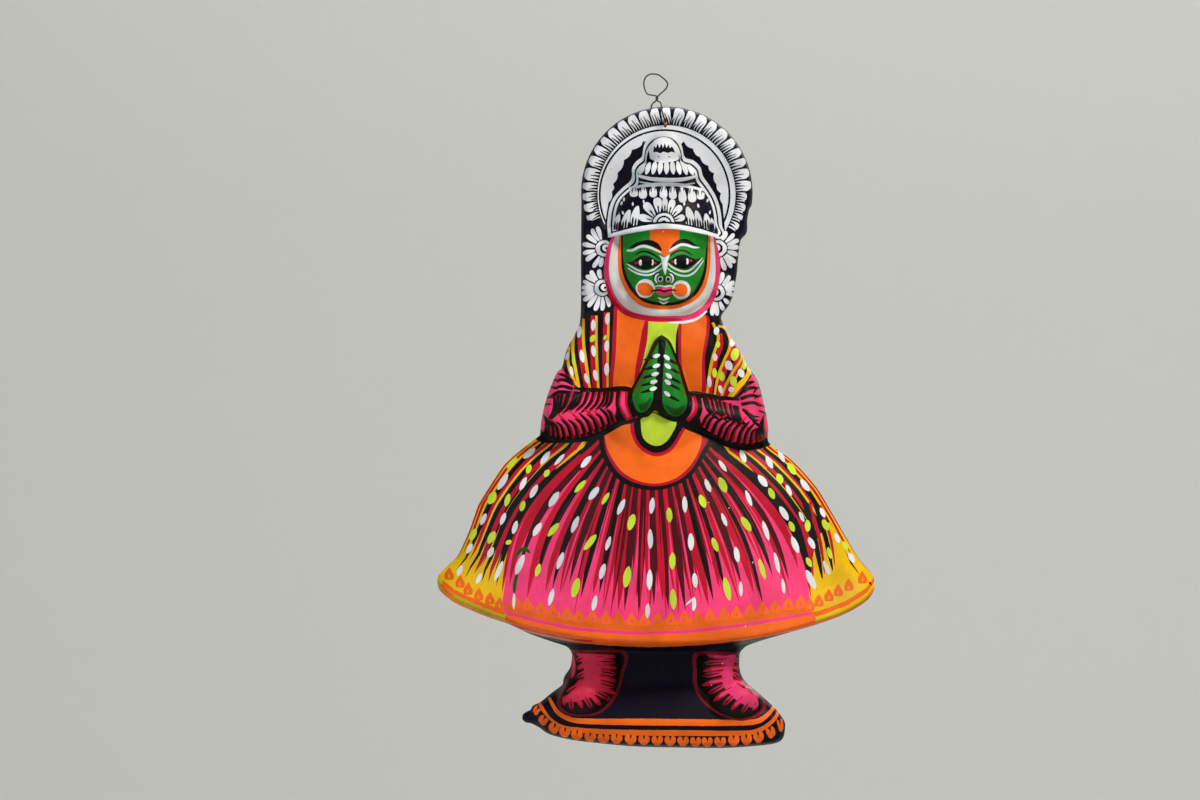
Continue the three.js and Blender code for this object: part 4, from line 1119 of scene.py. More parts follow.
# White and lime dabs over the whole skirt: x, z, width, height and lean
dabs = dict(
    white=[
        (-45.3, 173, 4, 9.5, 38), (-40, 154, 4.5, 10, 38), (-64.5, 150, 4.6, 11, 33),
        (-23.5, 146, 3.8, 10.5, 28), (-5, 147, 3.8, 10, 2), (-74.5, 131.5, 4.2, 9.5, 28),
        (-51.5, 135, 3.8, 11, 25), (-31, 124, 3.2, 9, 18), (-5.5, 127, 3.8, 12, 0), (-59.8, 113, 3.6, 11, 20),
        (-34.3, 107, 4, 10, 12), (-6, 102.5, 4.2, 12.5, 0), (-65, 91, 3.6, 10.5, 14), (-39, 88, 3.6, 9.5, 10),
        (-7, 84, 3.4, 9, 0), (-88, 88, 2, 10, 0), (38, 171.5, 3, 8.5, -35), (28.8, 159.5, 3.6, 8.5, -22),
        (54, 152, 3.2, 10.5, -25), (15, 148, 3.6, 10, 0), (39, 139, 3, 8.5, -25),
        (64.5, 132.5, 3.4, 12.5, -18), (19, 125.5, 4.4, 10.5, -4), (46.7, 118, 4, 9.5, -10),
        (71.5, 113, 3.2, 13, -12), (21.5, 102.5, 3.8, 9, -8), (49.5, 97.5, 2.8, 9, -4),
        (75.4, 99, 2.6, 9, -8), (21, 88, 3, 8, 6), (50.5, 177.5, 4, 8.5, -25), (-80, 177.5, 4, 9.5, 45),
        (-70, 175, 4, 9.5, 35), (-61.3, 174, 2.8, 9, 38), (-96, 160, 4.4, 11.5, 30), (-83.4, 159, 3.6, 9, 25),
        (-76.8, 154.5, 4, 9.5, 28), (-107.5, 137, 3.4, 8, 24), (-95.3, 137.5, 3.4, 8, 18),
        (-87.8, 132.5, 3.6, 8.5, 15), (-115.5, 119, 3.4, 7, 25), (-102.5, 117, 4, 7, 25),
        (-121.5, 105.5, 3.6, 7, 28), (-97.4, 106, 3.4, 13, 20), (-109.5, 101, 3, 7, 24),
        (66.5, 174, 4, 8.5, -30), (74.3, 177.5, 3.4, 8, -30), (62.5, 162.5, 4.6, 9, -38),
        (88.8, 160, 4.2, 9, -35), (78.7, 157, 3.2, 7.5, -28), (75.8, 143, 4.4, 10, -28),
        (99.5, 143.5, 3.4, 6.5, -30), (86.5, 141, 2.8, 7, -22), (82.8, 124, 4.4, 11, -25),
        (92.8, 125, 4, 8, -30), (92.3, 103, 4.8, 13, -28), (102.4, 110, 3.4, 9.5, -30),
        (109, 128, 3.4, 6.4, -24), (118, 116, 3.8, 7, -30)],
    lime=[
        (-48.5, 158, 3.4, 10, 42), (-33, 151, 3, 8.5, 28), (-17.2, 137, 5, 10.5, 12),
        (-64.5, 131.5, 4, 10.5, 35), (-42, 124.5, 4, 12, 38), (-73.5, 107, 3.6, 8, 20),
        (-50.5, 97, 5.4, 12, 12), (-19.5, 104, 5.2, 13, 5), (38, 160, 5.4, 10, -25),
        (25.7, 150, 4.6, 8.5, -22), (5.7, 141.5, 4.2, 9, 0), (52.5, 136.5, 4.6, 10.5, -35),
        (33.5, 124, 3.8, 9, -20), (7.8, 114, 4.4, 10, 0), (62.4, 109.5, 3.4, 13, -18),
        (41, 97.5, 4.6, 14.5, -14), (8.5, 91, 4.4, 12.5, -5), (-90.5, 171.5, 3, 9, 45),
        (-80, 168, 3.6, 6, 20), (-69, 165.6, 3.8, 5, 30), (-102.3, 150, 5.6, 8.5, 25),
        (-92.8, 149, 3.8, 8, 20), (-83.5, 145.5, 3.8, 6.5, 20), (-113.6, 127.5, 4, 8, 26),
        (-102.2, 126, 4.6, 8.5, 25), (-91.7, 123.4, 3, 4, 60), (80.5, 170, 4.4, 8.5, -30),
        (73, 164, 4.6, 6.5, -25), (68, 155, 4, 7.5, -25), (80.5, 135, 3.8, 7, -25), (90.3, 135.5, 4, 7.5, -5),
        (101.5, 136, 4.4, 7.5, -25), (91.2, 113.5, 3.6, 6.5, -25), (104, 119, 3, 7.5, -20),
        (114, 123, 3.2, 6.4, -26)],
)


def paintDabs():
    for x, z, width, height, lean in dabs["white"]:
        spot("white", x + shaky(0.2), z, width * 0.87, height, lean + shaky(4), 0.25)
    for x, z, width, height, lean in dabs["lime"]:
        spot("lime", x, z, width * 0.9, height, lean + shaky(4), 0.25)
    line("darkGreen", [(-87, 114.4), (-84.6, 118.6), (-81, 119.4), (-78.6, 117)], 2.6, 0.5, 0.4)
    line("darkGreen", [(-86, 104), (-87.4, 99), (-87.8, 92.6)], 2.4, 0.7, 0.4)
    spot("white", -84.6, 110, 4, 13, 22, 0.2)
    line("white", [(16, 87.6), (19.6, 90.6), (21.6, 92.4)], 1.2, 0.3, 0.3)


# A band that follows the hem, between two heights over it
def bandAlong(colour, first, last, low, high):
    xs = np.linspace(first, last, max(int(abs(last - first) / 2.4), 3)).tolist()
    lower = [(x, hemZ(x) + low + shaky(0.25)) for x in xs]
    paint(colour, lower + [(x, hemZ(x) + high + shaky(0.25)) for x in xs[::-1]], 0)


# The tassels are evenly set along the front and have their own places on the sides.
tassels = dict(count=23, first=-87.4, apart=7.9,
               left=[(-128, 103.5), (-121, 99), (-116, 94.8), (-109.4, 91.6), (-102.6, 89.4), (-96.6, 86.4)],
               right=[(92, 88), (97.4, 90.4), (103.6, 93.6), (109.4, 96.6), (116, 99.8), (124.6, 104.2)])


def paintHem():
    # The darker yellow at both flap tips is painted shade on the underside of each flap's hem, which faces
    # down.
    area("shadedYellow", [(-136, 100), (-120, 90), (-100, 82), (-92, 80), (-92, 70), (-110, 76), (-138, 90)], 20)
    area("shadedYellow", [(134, 100), (118, 86), (97, 79), (94, 80), (96, 72), (114, 78), (136, 92)], 20)
    bandAlong("orange", -92.5, 95, -2, 6.4)
    bandAlong("crimson", -92.5, -40, -0.2, 1.2)
    bandAlong("pink", -90, 92, 6.7, 7.9)
    bandAlong("orange", -92.5, 94, 8.6, 12.4)
    for i in range(tassels["count"]):
        x = tassels["first"] + i * tassels["apart"] + shaky(0.4)
        low = hemZ(x) + 12
        area("orange", [(x - 3.0, low), (x - 3.1, low + 3.2), (x - 1.7, low + 5.4),
                        (x + shaky(0.3), low + 7.8), (x + 1.6, low + 5.2), (x + 3.0, low + 3),
                        (x + 2.9, low)], 80)
        spot("pink", x, low + 2.2, 0.9, 2.6)
        line("orange", [(x + 3.95, low - 0.4), (x + 3.95, low + 3.2 + shaky(0.5))], 1.2, 0.9, 0.3)
    for side, spots in ((-1, tassels["left"]), (1, tassels["right"])):
        bandAlong("orange", side * 93, side * 133.5, -1, 1.6)
        bandAlong("orange", side * 93, side * 132, 5.2, 8.2)
        for x, z in spots:
            area("orange", [(x - 2.6, z - 3.6), (x - 2.9, z - 0.4), (x - 1.6, z + 1.6),
                            (x - 0.3 * side, z + 3.9), (x + 1.5, z + 1.5), (x + 2.8, z - 0.6),
                            (x + 2.5, z - 3.6)], 80)
            spot("yellow", x + shaky(0.2), z - 1.6, 0.9, 2.2, side * 12)
    line("maroon", [(128.6, 101.4), (130.6, 99.4)], 1.2, 0.6, 0.2)
    line("orange", [(-133, 97), (-128, 92), (-124, 90)], 2.0, 0.5, 0.3)


# Boots: a jagged front, feathered to both sides over black
boots = (
    # The left boot is painted a darker pink than the right one: painted shade, where the skirt shades that
    # boot.
    dict(tone="shadedPink",
         rim=[(-56, 58), (-52, 48), (-57, 37), (-61, 27), (-58, 20.6), (-50, 18), (-38, 19), (-30, 23.6),
              (-24, 32), (-20.6, 44), (-20.6, 58)],
         core=[(-50, 56.4), (-45.6, 50), (-45, 42), (-48, 36), (-56.6, 30), (-57, 27.4), (-52, 27),
               (-46, 28.6), (-39, 31), (-35, 36), (-34.6, 46), (-34, 55.6)],
         strokes=[((-37, 55), (-26, 54.8)), ((-37, 52), (-25.6, 51.6)), ((-37, 49.4), (-25.4, 47.6)),
                  ((-36, 46), (-25.6, 44)), ((-36, 42.6), (-25.6, 39.8)), ((-37, 39), (-26, 36)),
                  ((-37, 36), (-25.8, 32.2)), ((-39, 34), (-28.6, 28)), ((-41, 32), (-34.6, 25)),
                  ((-45, 31), (-40, 23.8)), ((-49, 30), (-45.6, 23.4)), ((-53, 29), (-52, 22.6)),
                  ((-56, 30), (-57, 25)), ((-45, 54), (-49.6, 51.6)), ((-44, 50), (-49, 46.8)),
                  ((-44, 45), (-49, 41.6)), ((-45, 40), (-50.4, 36.4)), ((-48, 37), (-55, 32.4))]),
    dict(tone="pink",
         rim=[(50.8, 58), (50.6, 46), (57.6, 37), (65.6, 30), (66, 24), (60, 18.6), (50, 16.6), (38, 20),
              (28, 27), (22.4, 36), (21.6, 46), (23.6, 58)],
         core=[(42, 56.4), (40.4, 50), (39, 44), (40, 38), (46, 31), (53, 26.6), (60, 24.6), (61.4, 27.6),
               (59.6, 32), (54, 35.6), (47.6, 40), (45, 46), (47.4, 56.4)],
         strokes=[((42, 55), (30, 56.6)), ((41, 52.6), (28.6, 51.4)), ((41, 49.6), (28, 46.4)),
                  ((40, 46), (27.8, 43.6)), ((40, 42), (27.4, 38)), ((41, 38.6), (31, 32.4)),
                  ((44, 35.6), (34.4, 28.8)), ((47, 33), (40, 26)), ((51, 30), (45, 23.6)),
                  ((56, 28.6), (51.6, 22)), ((60, 27), (58, 22.6)), ((46, 54), (49.8, 52.4)),
                  ((45, 50), (49.8, 47.4)), ((44.6, 46), (50.6, 42.4)), ((47, 41.4), (53.4, 37.8)),
                  ((53, 37), (58, 34.6)), ((57, 33), (61.4, 31))]),
)


def paintBoots():
    for boot in boots:
        rim, tone, ways = boot["rim"], boot["tone"], boot["strokes"]
        area("wine", rim)
        middle = (sum(x for x, z in rim) / len(rim), sum(z for x, z in rim) / len(rim))
        area("black", [(lerp(x, middle[0], 0.1), lerp(z, middle[1], 0.07)) for x, z in rim])
        for colour, width, reach in (("crimson", 3.1, 1.04), (tone, 1.9, 0.72)):
            for (x0, z0), (x1, z1) in ways:
                line(colour, [(x0, z0), (lerp(x0, x1, 0.5), lerp(z0, z1, 0.42)),
                              (lerp(x0, x1, reach), lerp(z0, z1, reach) + shaky(0.3))], width, 1.0, 0.06, 1.2)
        area(tone, boot["core"])
        for (x0, z0), (x1, z1) in ways[::2]:
            line("crimson", [(lerp(x0, x1, -0.12), lerp(z0, z1, -0.3)),
                             (lerp(x0, x1, 0.5), lerp(z0, z1, 0.2))],
                 0.6, 0.3, 0.1)
        for (x0, z0), (x1, z1) in ways[1::2]:
            line("black", [(x1, z1), (lerp(x0, x1, 0.5), lerp(z0, z1, 0.42)),
                           (lerp(x0, x1, 0.12), lerp(z0, z1, 0.06))], 0.9, 0.9, 0.1)
    # Edge line on the left boot, its darker pink again painted shade.
    line("crimson", [(-52.9, 56), (-51.2, 50), (-51.3, 45), (-52.6, 41)], 2.2, 0.6, 0.3)
    line("shadedPink", [(-52.4, 55.6), (-50.8, 50), (-50.9, 45.4), (-52, 42)], 1.2, 0.6, 0.3)


# Hearts along the base: x, z, width, height and lean
hearts = (
    (-73.6, 20.6, 3.6, 5.4, 40), (-69.4, 14.8, 5.4, 6, 35), (-62.8, 10.2, 6.4, 6.2, 22),
    (-56.2, 7.8, 6.4, 6.2, 12), (-48.8, 6.3, 6.6, 6.2, 8), (-40.6, 5.2, 6.8, 6.2, 4),
    (-32.5, 4.6, 6.8, 6.2, 0), (-24.5, 4.7, 6.8, 6.2, 0), (-16, 4.3, 6.8, 6.2, 2), (-7.9, 4.1, 6.6, 6, 0),
    (0.2, 3.9, 6.6, 6, 0), (8.1, 3.8, 6.6, 6, 0), (15.9, 3.6, 6.6, 6, 0), (23.5, 3.3, 6.4, 6, 0),
    (30.6, 3.3, 6.4, 6, 0), (38.5, 3.4, 6.8, 6.2, 0), (46.8, 4.3, 6.6, 6.6, -4), (54.6, 5, 6.4, 6.6, -8),
    (62, 6.3, 6, 6.8, -14), (69.4, 9.2, 5.2, 7, -22), (75.4, 13.6, 3.4, 8, -14),
)


def paintBase():
    area("navy", [(-84, 22), (-60, 44), (-56, 62), (-90, 75), (90, 75), (56, 62), (58, 42), (82, 22),
                  (82, -4), (-84, -4)])
    line("orange", [(-66, 28.6), (-61, 20.8), (-54.6, 16.8), (-45, 15.2), (-14, 15.2), (16, 15.3), (44, 15.3),
                    (58.6, 15.8), (66, 18.8), (72.6, 25.2)], 4.1, 0.4, 0.6)
    line("orange", [(-72.4, 25.6), (-67, 18.6), (-60, 13.2), (-50, 10), (-36, 9), (-14, 8.6), (16, 8.8),
                    (50, 8.9), (61.6, 10.6), (69.8, 15.8), (74.8, 22.4)], 3.6, 0.5, 0.5)
    line("navy", [(-70, 25), (-64.6, 17.6), (-57, 13), (-45, 11.8), (-14, 11.8), (20, 11.9), (50, 12),
                  (61, 13.6), (68, 18.4), (73.4, 24.6)], 1.5, 0.5, 0.5)
    for x, z, width, height, lean in hearts:
        turn = math.radians(lean)
        for dx in (-0.25, 0.25):
            spot("orange", x + dx * width * math.cos(turn), z - dx * width * math.sin(turn) + 0.4,
                 width * 0.56, height * 0.9, lean + dx * 30, 0.1)
        spot("orange", x, z - height * 0.22, width * 0.72, height * 0.6, lean)
        line("navy", [(x + 2.6 * math.sin(turn), z + height * 0.5), (x + shaky(0.2), z + 0.3)], 0.9, 0.9, 0.2)


# Specks and chips all over, and the rust that the wire has left round its hole
chips = dict(count=26, reach=60, low=20, high=380)


def paintChips():
    area("rust", [(0.4, 383), (-0.6, 381.6), (-0.4, 378.6), (0.8, 377), (1.8, 379), (1.6, 382)], 90, 0.8)
    for i in range(chips["count"]):
        x, z = random.uniform(-chips["reach"], chips["reach"]), random.uniform(chips["low"], chips["high"])
        spot("maroon" if i % 2 else "white", x, z, random.uniform(0.4, 0.9), random.uniform(0.4, 1.1),
             shaky(80), count=7)


paintBase()
paintBoots()
paintFlaps()
paintPanel()
paintHem()
paintDabs()
paintVest()
paintCape()
paintBib()
paintArms()
paintHands()
paintHalo()
paintCrown()
paintEarFlowers()
paintFace()
paintChips()
print("paint ready", len(strokes), "strokes")


# The painted sheet: the front is cut along every brush stroke, so that paint edges are crisp

# The open edges of a set of faces, longest first
def loopsOf(faces):
    pairs = {pair: True for face in faces for pair in zip(face, face[1:] + face[:1])}
    following = {a: b for a, b in pairs if (b, a) not in pairs}
    loops = []
    while following:
        start, place = following.popitem()
        loop = [start]
        while place != start:
            loop.append(place)
            place = following.pop(place)
        loops.append(loop)
    return sorted(loops, key=len, reverse=True)


# Extra points inside the front, closer together where it is steep
def sheetPoints():
    points = []
    fine = sheet["fineStep"]
    for j in range(int((sheet["top"] - sheet["bottom"]) / fine)):
        for i in range(int((sheet["right"] - sheet["left"]) / fine)):
            x = sheet["left"] + i * fine
            z = sheet["bottom"] + j * fine
            if at(edgeDistance, x, z) < 0.7:
                continue
            steep = math.hypot(at(slopeX, x, z), at(slopeZ, x, z))
            if steep > sheet["steep"] or (i % 2 == 0 and j % 2 == 0):
                points.append((x + random.uniform(-0.15, 0.15), z + random.uniform(-0.15, 0.15)))
    return points


# Every outline is handed over anticlockwise, because that is what makes its inner side its own.
def triangulate(rings, points):
    coords, faces = [], []
    for ring in rings:
        face = list(range(len(coords), len(coords) + len(ring)))
        turning = sum(x0 * z1 - x1 * z0 for (x0, z0), (x1, z1) in zip(ring, ring[1:] + ring[:1]))
        faces.append(face if turning > 0 else face[::-1])
        coords += [Vector(p) for p in ring]
    coords += [Vector(p) for p in points]
    spots, _, triangles, origins, _, owners = geometry.delaunay_2d_cdt(coords, [], faces, 0, 1e-5, True)
    became = {given: i for i, givens in enumerate(origins) for given in givens}
    kept, colourOf = [], []
    for triangle, owner in zip(triangles, owners):
        if 0 not in owner or 1 in owner:
            continue
        a, b, c = (spots[i] for i in triangle)
        if (b - a).cross(c - a) < 0:
            triangle = triangle[::-1]
        kept.append(tuple(triangle))
        colourOf.append(max(owner))
    return spots, kept, colourOf, became


# Points inside the back, with two rows where the hollow starts behind the flat rim
def backPoints(loop):
    points = []
    step = sheet["backStep"]
    for j in range(int((sheet["top"] - sheet["bottom"]) / step)):
        for i in range(int((sheet["right"] - sheet["left"]) / step)):
            x = sheet["left"] + (i + 0.5 * (j % 2)) * step
            z = sheet["bottom"] + j * step
            if at(edgeDistance, x, z) > sheet["wall"] + 2:
                points.append((x, z))
    for (x0, z0), (x1, z1) in zip(loop, loop[2:] + loop[:2]):
        length = math.hypot(x1 - x0, z1 - z0)
        if length < 1e-6:
            continue
        for inward in (sheet["wall"] - 0.1, sheet["wall"] + sheet["backLip"]):
            x = (x0 + x1) / 2 - (z1 - z0) / length * inward
            z = (z0 + z1) / 2 + (x1 - x0) / length * inward
            if abs(at(edgeDistance, x, z) - inward) < 0.25:
                points.append((x, z))
    return points


# A dent in the flat rim lets the wire pass behind it.
def notchDepth(x, z):
    inside = notch["halfWidth"] + notch["slack"] - abs(x - notch["x"])
    if z < notch["low"] or inside < 0:
        return 0
    return notch["depth"] * min(1, inside / notch["slope"])


# Every face is given its material, its paint, the way of the brush, how full it was, and 1 on the edge.
def giveFaces(mesh, colours, frontCount, backCount):
    edgeCount = len(colours) - frontCount - backCount
    mesh.polygons.foreach_set("material_index", [0] * frontCount + [1] * backCount + [0] * edgeCount)
    for name, kind, key, values in (
            ("paint", "FLOAT_COLOR", "color", [channel for colour, _, _ in colours for channel in colour]),
            ("brush", "FLOAT", "value", [math.radians(angle) for _, angle, _ in colours]),
            ("load", "FLOAT", "value", [load for _, _, load in colours]),
            ("edge", "FLOAT", "value", [0.0] * (frontCount + backCount) + [1.0] * edgeCount)):
        mesh.attributes.new(name, kind, "FACE").data.foreach_set(key, values)


# The front's points, its triangles and the outline that owns each, without the points that none uses
def frontSheet():
    rings = [outline, holeRing] + [stroke[0] for stroke in strokes]
    spots, triangles, owners, _ = triangulate(rings, sheetPoints())
    used = sorted({i for triangle in triangles for i in triangle})
    place = {old: new for new, old in enumerate(used)}
    return [spots[i] for i in used], [tuple(place[i] for i in triangle) for triangle in triangles], owners


def makeFigure():
    spots, triangles, owners = frontSheet()
    verts, normals = [], []
    for x, z in spots:
        verts.append(toScene(x, at(front, x, z), z))
        normals.append(Vector((-at(slopeX, x, z), -1, -at(slopeZ, x, z))).normalized())
    frontLoops = loopsOf(triangles)[:2]
    backRings = [[tuple(spots[i]) for i in loop] for loop in frontLoops]
    backSpots, backTriangles, _, became = triangulate(backRings, backPoints(backRings[0]))
    backUsed = sorted({i for triangle in backTriangles for i in triangle})
    backPlace = {old: new + len(spots) for new, old in enumerate(backUsed)}
    for old in backUsed:
        x, z = backSpots[old]
        verts.append(toScene(x, max(at(hollow, x, z), notchDepth(x, z)), z))
        normals.append(Vector((at(hollowSlopeX, x, z), 1, at(hollowSlopeZ, x, z))).normalized())
    faces = triangles + [tuple(backPlace[i] for i in triangle[::-1]) for triangle in backTriangles]
    # The first two outlines are the edge and the wire's hole; where no stroke lies, the ground is dark.
    ground = toLinear(paints["navy"])
    colours = [strokes[i - 2][1:] if i > 1 else (ground, 90, 0) for i in owners]
    colours += [(toLinear(pulpLook["colour"]), 90, 0)] * len(backTriangles)
    loopNormals = [normals[i] for face in faces for i in face]
    paintOf = {}
    for triangle, colour in zip(triangles, colours):
        for a, b in zip(triangle, triangle[1:] + triangle[:1]):
            paintOf[(a, b)] = colour
    # The wall's thickness at the outer edge and in the wire's hole joins the front to the back.
    given = 0
    for loop in frontLoops:
        under = [backPlace[became[given + k]] for k in range(len(loop))]
        given += len(loop)
        for i, j, below, belowNext in zip(loop, loop[1:] + loop[:1], under, under[1:] + under[:1]):
            faces.append((j, i, below, belowNext))
            step = spots[j] - spots[i]
            outward = Vector((step.y, 0, -step.x)).normalized()
            loopNormals += [normals[j], normals[i], outward, outward]
            colours.append(paintOf[(i, j)])
    mesh = bpy.data.meshes.new("papier-mache_figure_painted")
    mesh.from_pydata(verts, [], faces)
    giveFaces(mesh, colours, len(triangles), len(backTriangles))
    mesh.shade_smooth()
    mesh.normals_split_custom_set(loopNormals)
    mesh.update()
    figure = bpy.data.objects.new("papier-mache_figure_painted", mesh)
    bpy.context.scene.collection.objects.link(figure)
    print("figure", len(faces), "faces", len(strokes), "strokes")
    return figure


# Materials

def newMaterial(name):
    material = bpy.data.materials.new(name)
    material.use_nodes = True
    return material, material.node_tree, material.node_tree.nodes["Principled BSDF"]


# Adds a node with its settings and its inputs, which are values or other nodes' outputs.
def addNode(tree, kind, inputs, out=0, **settings):
    node = tree.nodes.new("ShaderNode" + kind)
    for name, value in settings.items():
        setattr(node, name, value)
    for key, value in inputs.items():
        if isinstance(value, bpy.types.NodeSocket):
            tree.links.new(value, node.inputs[key])
        else:
            node.inputs[key].default_value = value
    return node.outputs[out]


# How often a pattern of that many millimetres repeats in a metre
def perMetre(millimetres):
    return 1000 / millimetres


# Poster paint brushed over a clay ground and varnished once: satin, with streaks along each stroke and
# thin spots. Sizes are in millimetres. Single hairs of the brush are finer than the streaks drawn here.
paintLook = dict(streakWide=0.3846, streakLong=14.29, streakDeep=3.333, cloud=18.18, paper=2.381, chip=0.6667,
                 roughness=0.46, gloss=0.13, bump=0.22, bumpHeight=0.6, wallEdge=4.5)
paintTones = dict(light="#FFFFFF", lightShare=0.34, shade="#0A0608", shadeShare=0.22, thick="#1A0A10",
                  thickShare=0.3, clay="#CFC8BC", clayShare=0.45, edge="#A99C88")


def brushedPaint():
    material, tree, shader = newMaterial("hand-brushed poster paint on papier-mache")
    place = addNode(tree, "TexCoord", {}, "Object")
    colour = addNode(tree, "Attribute", {}, "Color", attribute_name="paint")
    angle = addNode(tree, "Attribute", {}, "Fac", attribute_name="brush")
    load = addNode(tree, "Attribute", {}, "Fac", attribute_name="load")
    onEdge = addNode(tree, "Attribute", {}, "Fac", attribute_name="edge")
    turned = addNode(tree, "VectorRotate", {"Vector": place, "Angle": angle}, rotation_type="Y_AXIS")
    stretched = addNode(tree, "Mapping", {"Vector": turned, "Scale": [
        perMetre(paintLook[side]) for side in ("streakLong", "streakDeep", "streakWide")]})
    streak = addNode(tree, "TexNoise", {"Vector": stretched, "Scale": 1, "Detail": 3, "Roughness": 0.6})
    cloud = addNode(tree, "TexNoise", {"Vector": place, "Scale": perMetre(paintLook["cloud"]), "Detail": 4})
    paper = addNode(tree, "TexNoise", {"Vector": place, "Scale": perMetre(paintLook["paper"]), "Detail": 5,
                                       "Roughness": 0.62})
    chip = addNode(tree, "TexNoise", {"Vector": place, "Scale": perMetre(paintLook["chip"]), "Detail": 3})
    # Each tone is laid over the last: light streaks, darker clouds, then the fuller strokes.
    toned = colour
    for pattern, low, high, tone, blend in (
            (streak, 0.36, 0.68, "light", "SOFT_LIGHT"), (cloud, 0.42, 0.7, "shade", "MULTIPLY"),
            (load, 0, 1, "thick", "MULTIPLY")):
        share = addNode(tree, "MapRange", {0: pattern, 1: low, 2: high, 4: paintTones[tone + "Share"]})
        toned = addNode(tree, "Mix", {0: share, 6: toned, 7: toLinear(paintTones[tone])}, 2,
                        data_type="RGBA", blend_type=blend)
    # Thin paint on the high spots of the paper shows a little of the pale clay ground.
    chipped = addNode(tree, "MapRange", {0: chip, 1: 0.7, 2: 0.76})
    raised = addNode(tree, "MapRange", {0: paper, 1: 0.52, 2: 0.62, 4: paintTones["clayShare"]})
    thin = addNode(tree, "Math", {0: chipped, 1: raised}, operation="MULTIPLY")
    worn = addNode(tree, "Mix", {0: thin, 6: toned, 7: toLinear(paintTones["clay"])}, 2, data_type="RGBA")
    # On the wall's edge the paint ends unevenly, a little in front of the back.
    depth = addNode(tree, "SeparateXYZ", {"Vector": place}, "Y")
    wander = addNode(tree, "Math", {0: paper, 1: paintLook["wallEdge"] / 1000}, operation="MULTIPLY")
    uneven = addNode(tree, "Math", {0: wander, 1: depth}, operation="ADD")
    unpainted = addNode(tree, "MapRange", {0: uneven, 1: -0.0006, 2: 0.0004})
    bareEdge = addNode(tree, "Math", {0: unpainted, 1: onEdge}, operation="MULTIPLY")
    finished = addNode(tree, "Mix", {0: bareEdge, 6: worn, 7: toLinear(paintTones["edge"])}, 2,
                       data_type="RGBA")
    rough = addNode(tree, "MapRange", {0: streak, 1: 0.3, 2: 0.75, 3: paintLook["roughness"] - 0.07,
                                       4: paintLook["roughness"] + 0.1})
    streakRelief = addNode(tree, "Math", {0: streak, 1: 0.35}, operation="MULTIPLY")
    relief = addNode(tree, "Math", {0: streakRelief, 1: paper}, operation="ADD")
    bump = addNode(tree, "Bump", {"Strength": paintLook["bump"], "Distance": paintLook["bumpHeight"] / 1000,
                                  "Height": relief})
    tree.links.new(finished, shader.inputs["Base Color"])
    tree.links.new(rough, shader.inputs["Roughness"])
    tree.links.new(bump, shader.inputs["Normal"])
    shader.inputs["Specular IOR Level"].default_value = paintLook["gloss"]
    return material


# Torn paper laid in paste dries dull and blotchy, and the edges of the scraps show. Sizes are in
# millimetres. The fibres are drawn coarser than real ones, which wouldn't show.
pulpLook = dict(colour="#9C8F7D", dark="#6F6355", pale="#B9AE9C", blotch=14.29, scrap=26.32, scrapShare=0.45,
                fibre=1.111, fibreShare=0.5, fibreLong=3.5, roughness=0.93, bump=0.6, bumpHeight=0.7)


def barePulp():
    material, tree, shader = newMaterial("bare layered paper pulp")
    dark, middle, pale = (toLinear(pulpLook[name]) for name in ("dark", "colour", "pale"))
    place = addNode(tree, "TexCoord", {}, "Object")
    blotch = addNode(tree, "TexNoise", {"Vector": place, "Scale": perMetre(pulpLook["blotch"]), "Detail": 6,
                                        "Roughness": 0.65})
    squeezed = addNode(tree, "Mapping", {"Vector": place, "Rotation": (0, 0.5, 0),
                                         "Scale": (1, 1, pulpLook["fibreLong"])})
    fibre = addNode(tree, "TexNoise", {"Vector": squeezed, "Scale": perMetre(pulpLook["fibre"]), "Detail": 4})
    scrap = addNode(tree, "TexVoronoi", {"Vector": place, "Scale": perMetre(pulpLook["scrap"])}, "Color")
    scrapTone = addNode(tree, "SeparateColor", {0: scrap})
    blotched = addNode(tree, "MapRange", {0: blotch, 1: 0.3, 2: 0.7})
    base = addNode(tree, "Mix", {0: blotched, 6: dark, 7: middle}, 2, data_type="RGBA")
    torn = addNode(tree, "MapRange", {0: scrapTone, 1: 0, 2: 1, 4: pulpLook["scrapShare"]})
    paper = addNode(tree, "Mix", {0: torn, 6: base, 7: pale}, 2, data_type="RGBA")
    fibrous = addNode(tree, "MapRange", {0: fibre, 1: 0.5, 2: 0.8, 4: pulpLook["fibreShare"]})
    finished = addNode(tree, "Mix", {0: fibrous, 6: paper, 7: dark}, 2, data_type="RGBA")
    deepBlotch = addNode(tree, "Math", {0: blotch, 1: 2.0}, operation="MULTIPLY")
    relief = addNode(tree, "Math", {0: deepBlotch, 1: fibre}, operation="ADD")
    bump = addNode(tree, "Bump", {"Strength": pulpLook["bump"], "Distance": pulpLook["bumpHeight"] / 1000,
                                  "Height": relief})
    tree.links.new(finished, shader.inputs["Base Color"])
    tree.links.new(bump, shader.inputs["Normal"])
    shader.inputs["Roughness"].default_value = pulpLook["roughness"]
    return material


# Soft binding wire is black from annealing, so it is dull, with brown rust in patches of a millimetre or two.
wireLook = dict(steel="#4B4641", rust="#5E3B26", patch=1.429, rustShare=0.8, roughness=0.48, metallic=0.85,
                bump=0.3, bumpHeight=0.1)


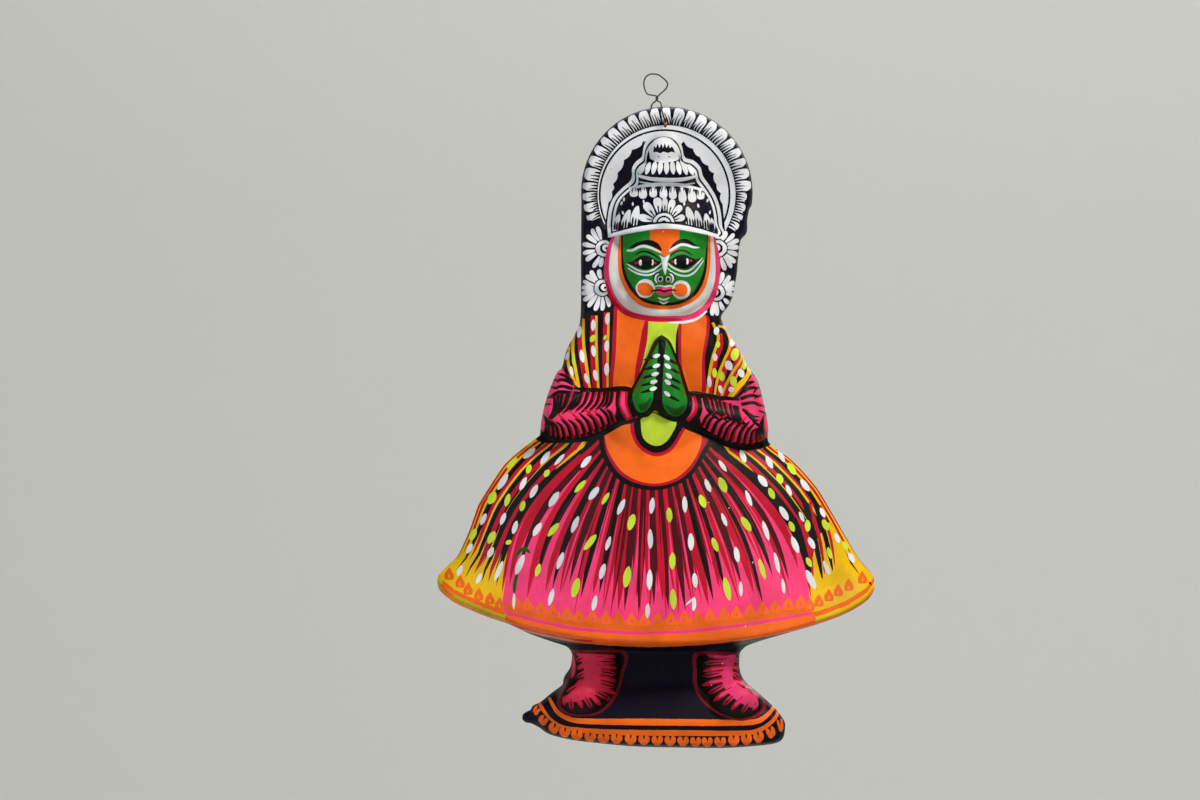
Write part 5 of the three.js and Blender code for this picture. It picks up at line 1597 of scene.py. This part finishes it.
def bindingWire():
    material, tree, shader = newMaterial("dull annealed steel wire")
    place = addNode(tree, "TexCoord", {}, "Object")
    patch = addNode(tree, "TexNoise", {"Vector": place, "Scale": perMetre(wireLook["patch"]), "Detail": 5})
    rusty = addNode(tree, "MapRange", {0: patch, 1: 0.5, 2: 0.66, 4: wireLook["rustShare"]})
    colour = addNode(tree, "Mix", {0: rusty, 6: toLinear(wireLook["steel"]), 7: toLinear(wireLook["rust"])},
                     2, data_type="RGBA")
    rough = addNode(tree, "MapRange", {0: patch, 1: 0.35, 2: 0.7, 3: wireLook["roughness"] - 0.1, 4: 0.8})
    bump = addNode(tree, "Bump", {"Strength": wireLook["bump"], "Distance": wireLook["bumpHeight"] / 1000,
                                  "Height": patch})
    tree.links.new(colour, shader.inputs["Base Color"])
    tree.links.new(rough, shader.inputs["Roughness"])
    tree.links.new(bump, shader.inputs["Normal"])
    shader.inputs["Metallic"].default_value = wireLook["metallic"]
    return material


# The wire: a loop above a twist, and a stirrup through the halo's rim

wire = dict(
    diameter=0.9, turns=1, offset=0.52, steps=150, bottom=(-4.7, 393.8, 3.2), top=(-4.4, 397, 1.9),
    loop=[(-7, 397.4, 1.7), (-10.8, 398.6, 1.3), (-12.6, 404, 1.2), (-11.8, 408, 1.2), (-9.2, 410.2, 1.2),
          (-6.2, 410.45, 1.2), (-3, 409.6, 1.2), (1.6, 405.6, 1.2), (1.2, 402, 1.2), (-2.4, 398.4, 1.6)],
    stirrup=[(-2.6, 392.9, 6.4), (-1.9, 391.2, 10.2), (-1.9, 388.6, 13.4), (-0.8, 385, 14),
             (0.5, 381.2, 13.6), (0.8, 380.2, 11.6), (0.8, 380.2, 6.5), (-0.4, 380.8, 3.2),
             (-4.6, 382.6, 1.8), (-7.3, 385.4, 1.1), (-7.8, 388, 1.1), (-7.8, 391, 1.1), (-6.6, 392.8, 1.7)],
)


def strand(startTurn, steps=12):
    spots = []
    for i in range(steps + 1):
        part = i / steps
        turn = startTurn + part * wire["turns"] * math.tau
        x, z, depth = (lerp(a, b, part) for a, b in zip(wire["bottom"], wire["top"]))
        spots.append((x + wire["offset"] * math.cos(turn), z, depth + wire["offset"] * math.sin(turn)))
    return spots


def makeWire():
    up, down = strand(math.pi), strand(0)[::-1]
    curve = bpy.data.curves.new("bent_wire", "CURVE")
    curve.dimensions = "3D"
    curve.bevel_depth = wire["diameter"] / 2000
    curve.bevel_resolution = 3
    curve.use_fill_caps = True
    steps = wire["steps"]
    for spots in (up + wire["loop"] + down, [down[-1]] + wire["stirrup"] + [up[0]]):
        path = [along(spots, i / steps) for i in range(steps + 1)]
        spline = curve.splines.new("POLY")
        spline.points.add(len(path) - 1)
        for point, (x, z, depth) in zip(spline.points, path):
            point.co = (*toScene(x, depth, z), 1)
    drawn = bpy.data.objects.new("bent_wire", curve)
    mesh = bpy.data.meshes.new_from_object(drawn)
    mesh.name = "hanging_wire_round"
    mesh.shade_smooth()
    mesh.materials.clear()
    mesh.materials.append(bindingWire())
    piece = bpy.data.objects.new("hanging_wire_round", mesh)
    bpy.context.scene.collection.objects.link(piece)
    bpy.data.objects.remove(drawn)
    return piece


figure = makeFigure()
figure.data.materials.append(brushedPaint())
figure.data.materials.append(barePulp())
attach(figure, "root")
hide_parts("papier-mache_figure")
hangingWire = makeWire()
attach(hangingWire, "root")
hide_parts("hanging_wire")
print("pieces ready")
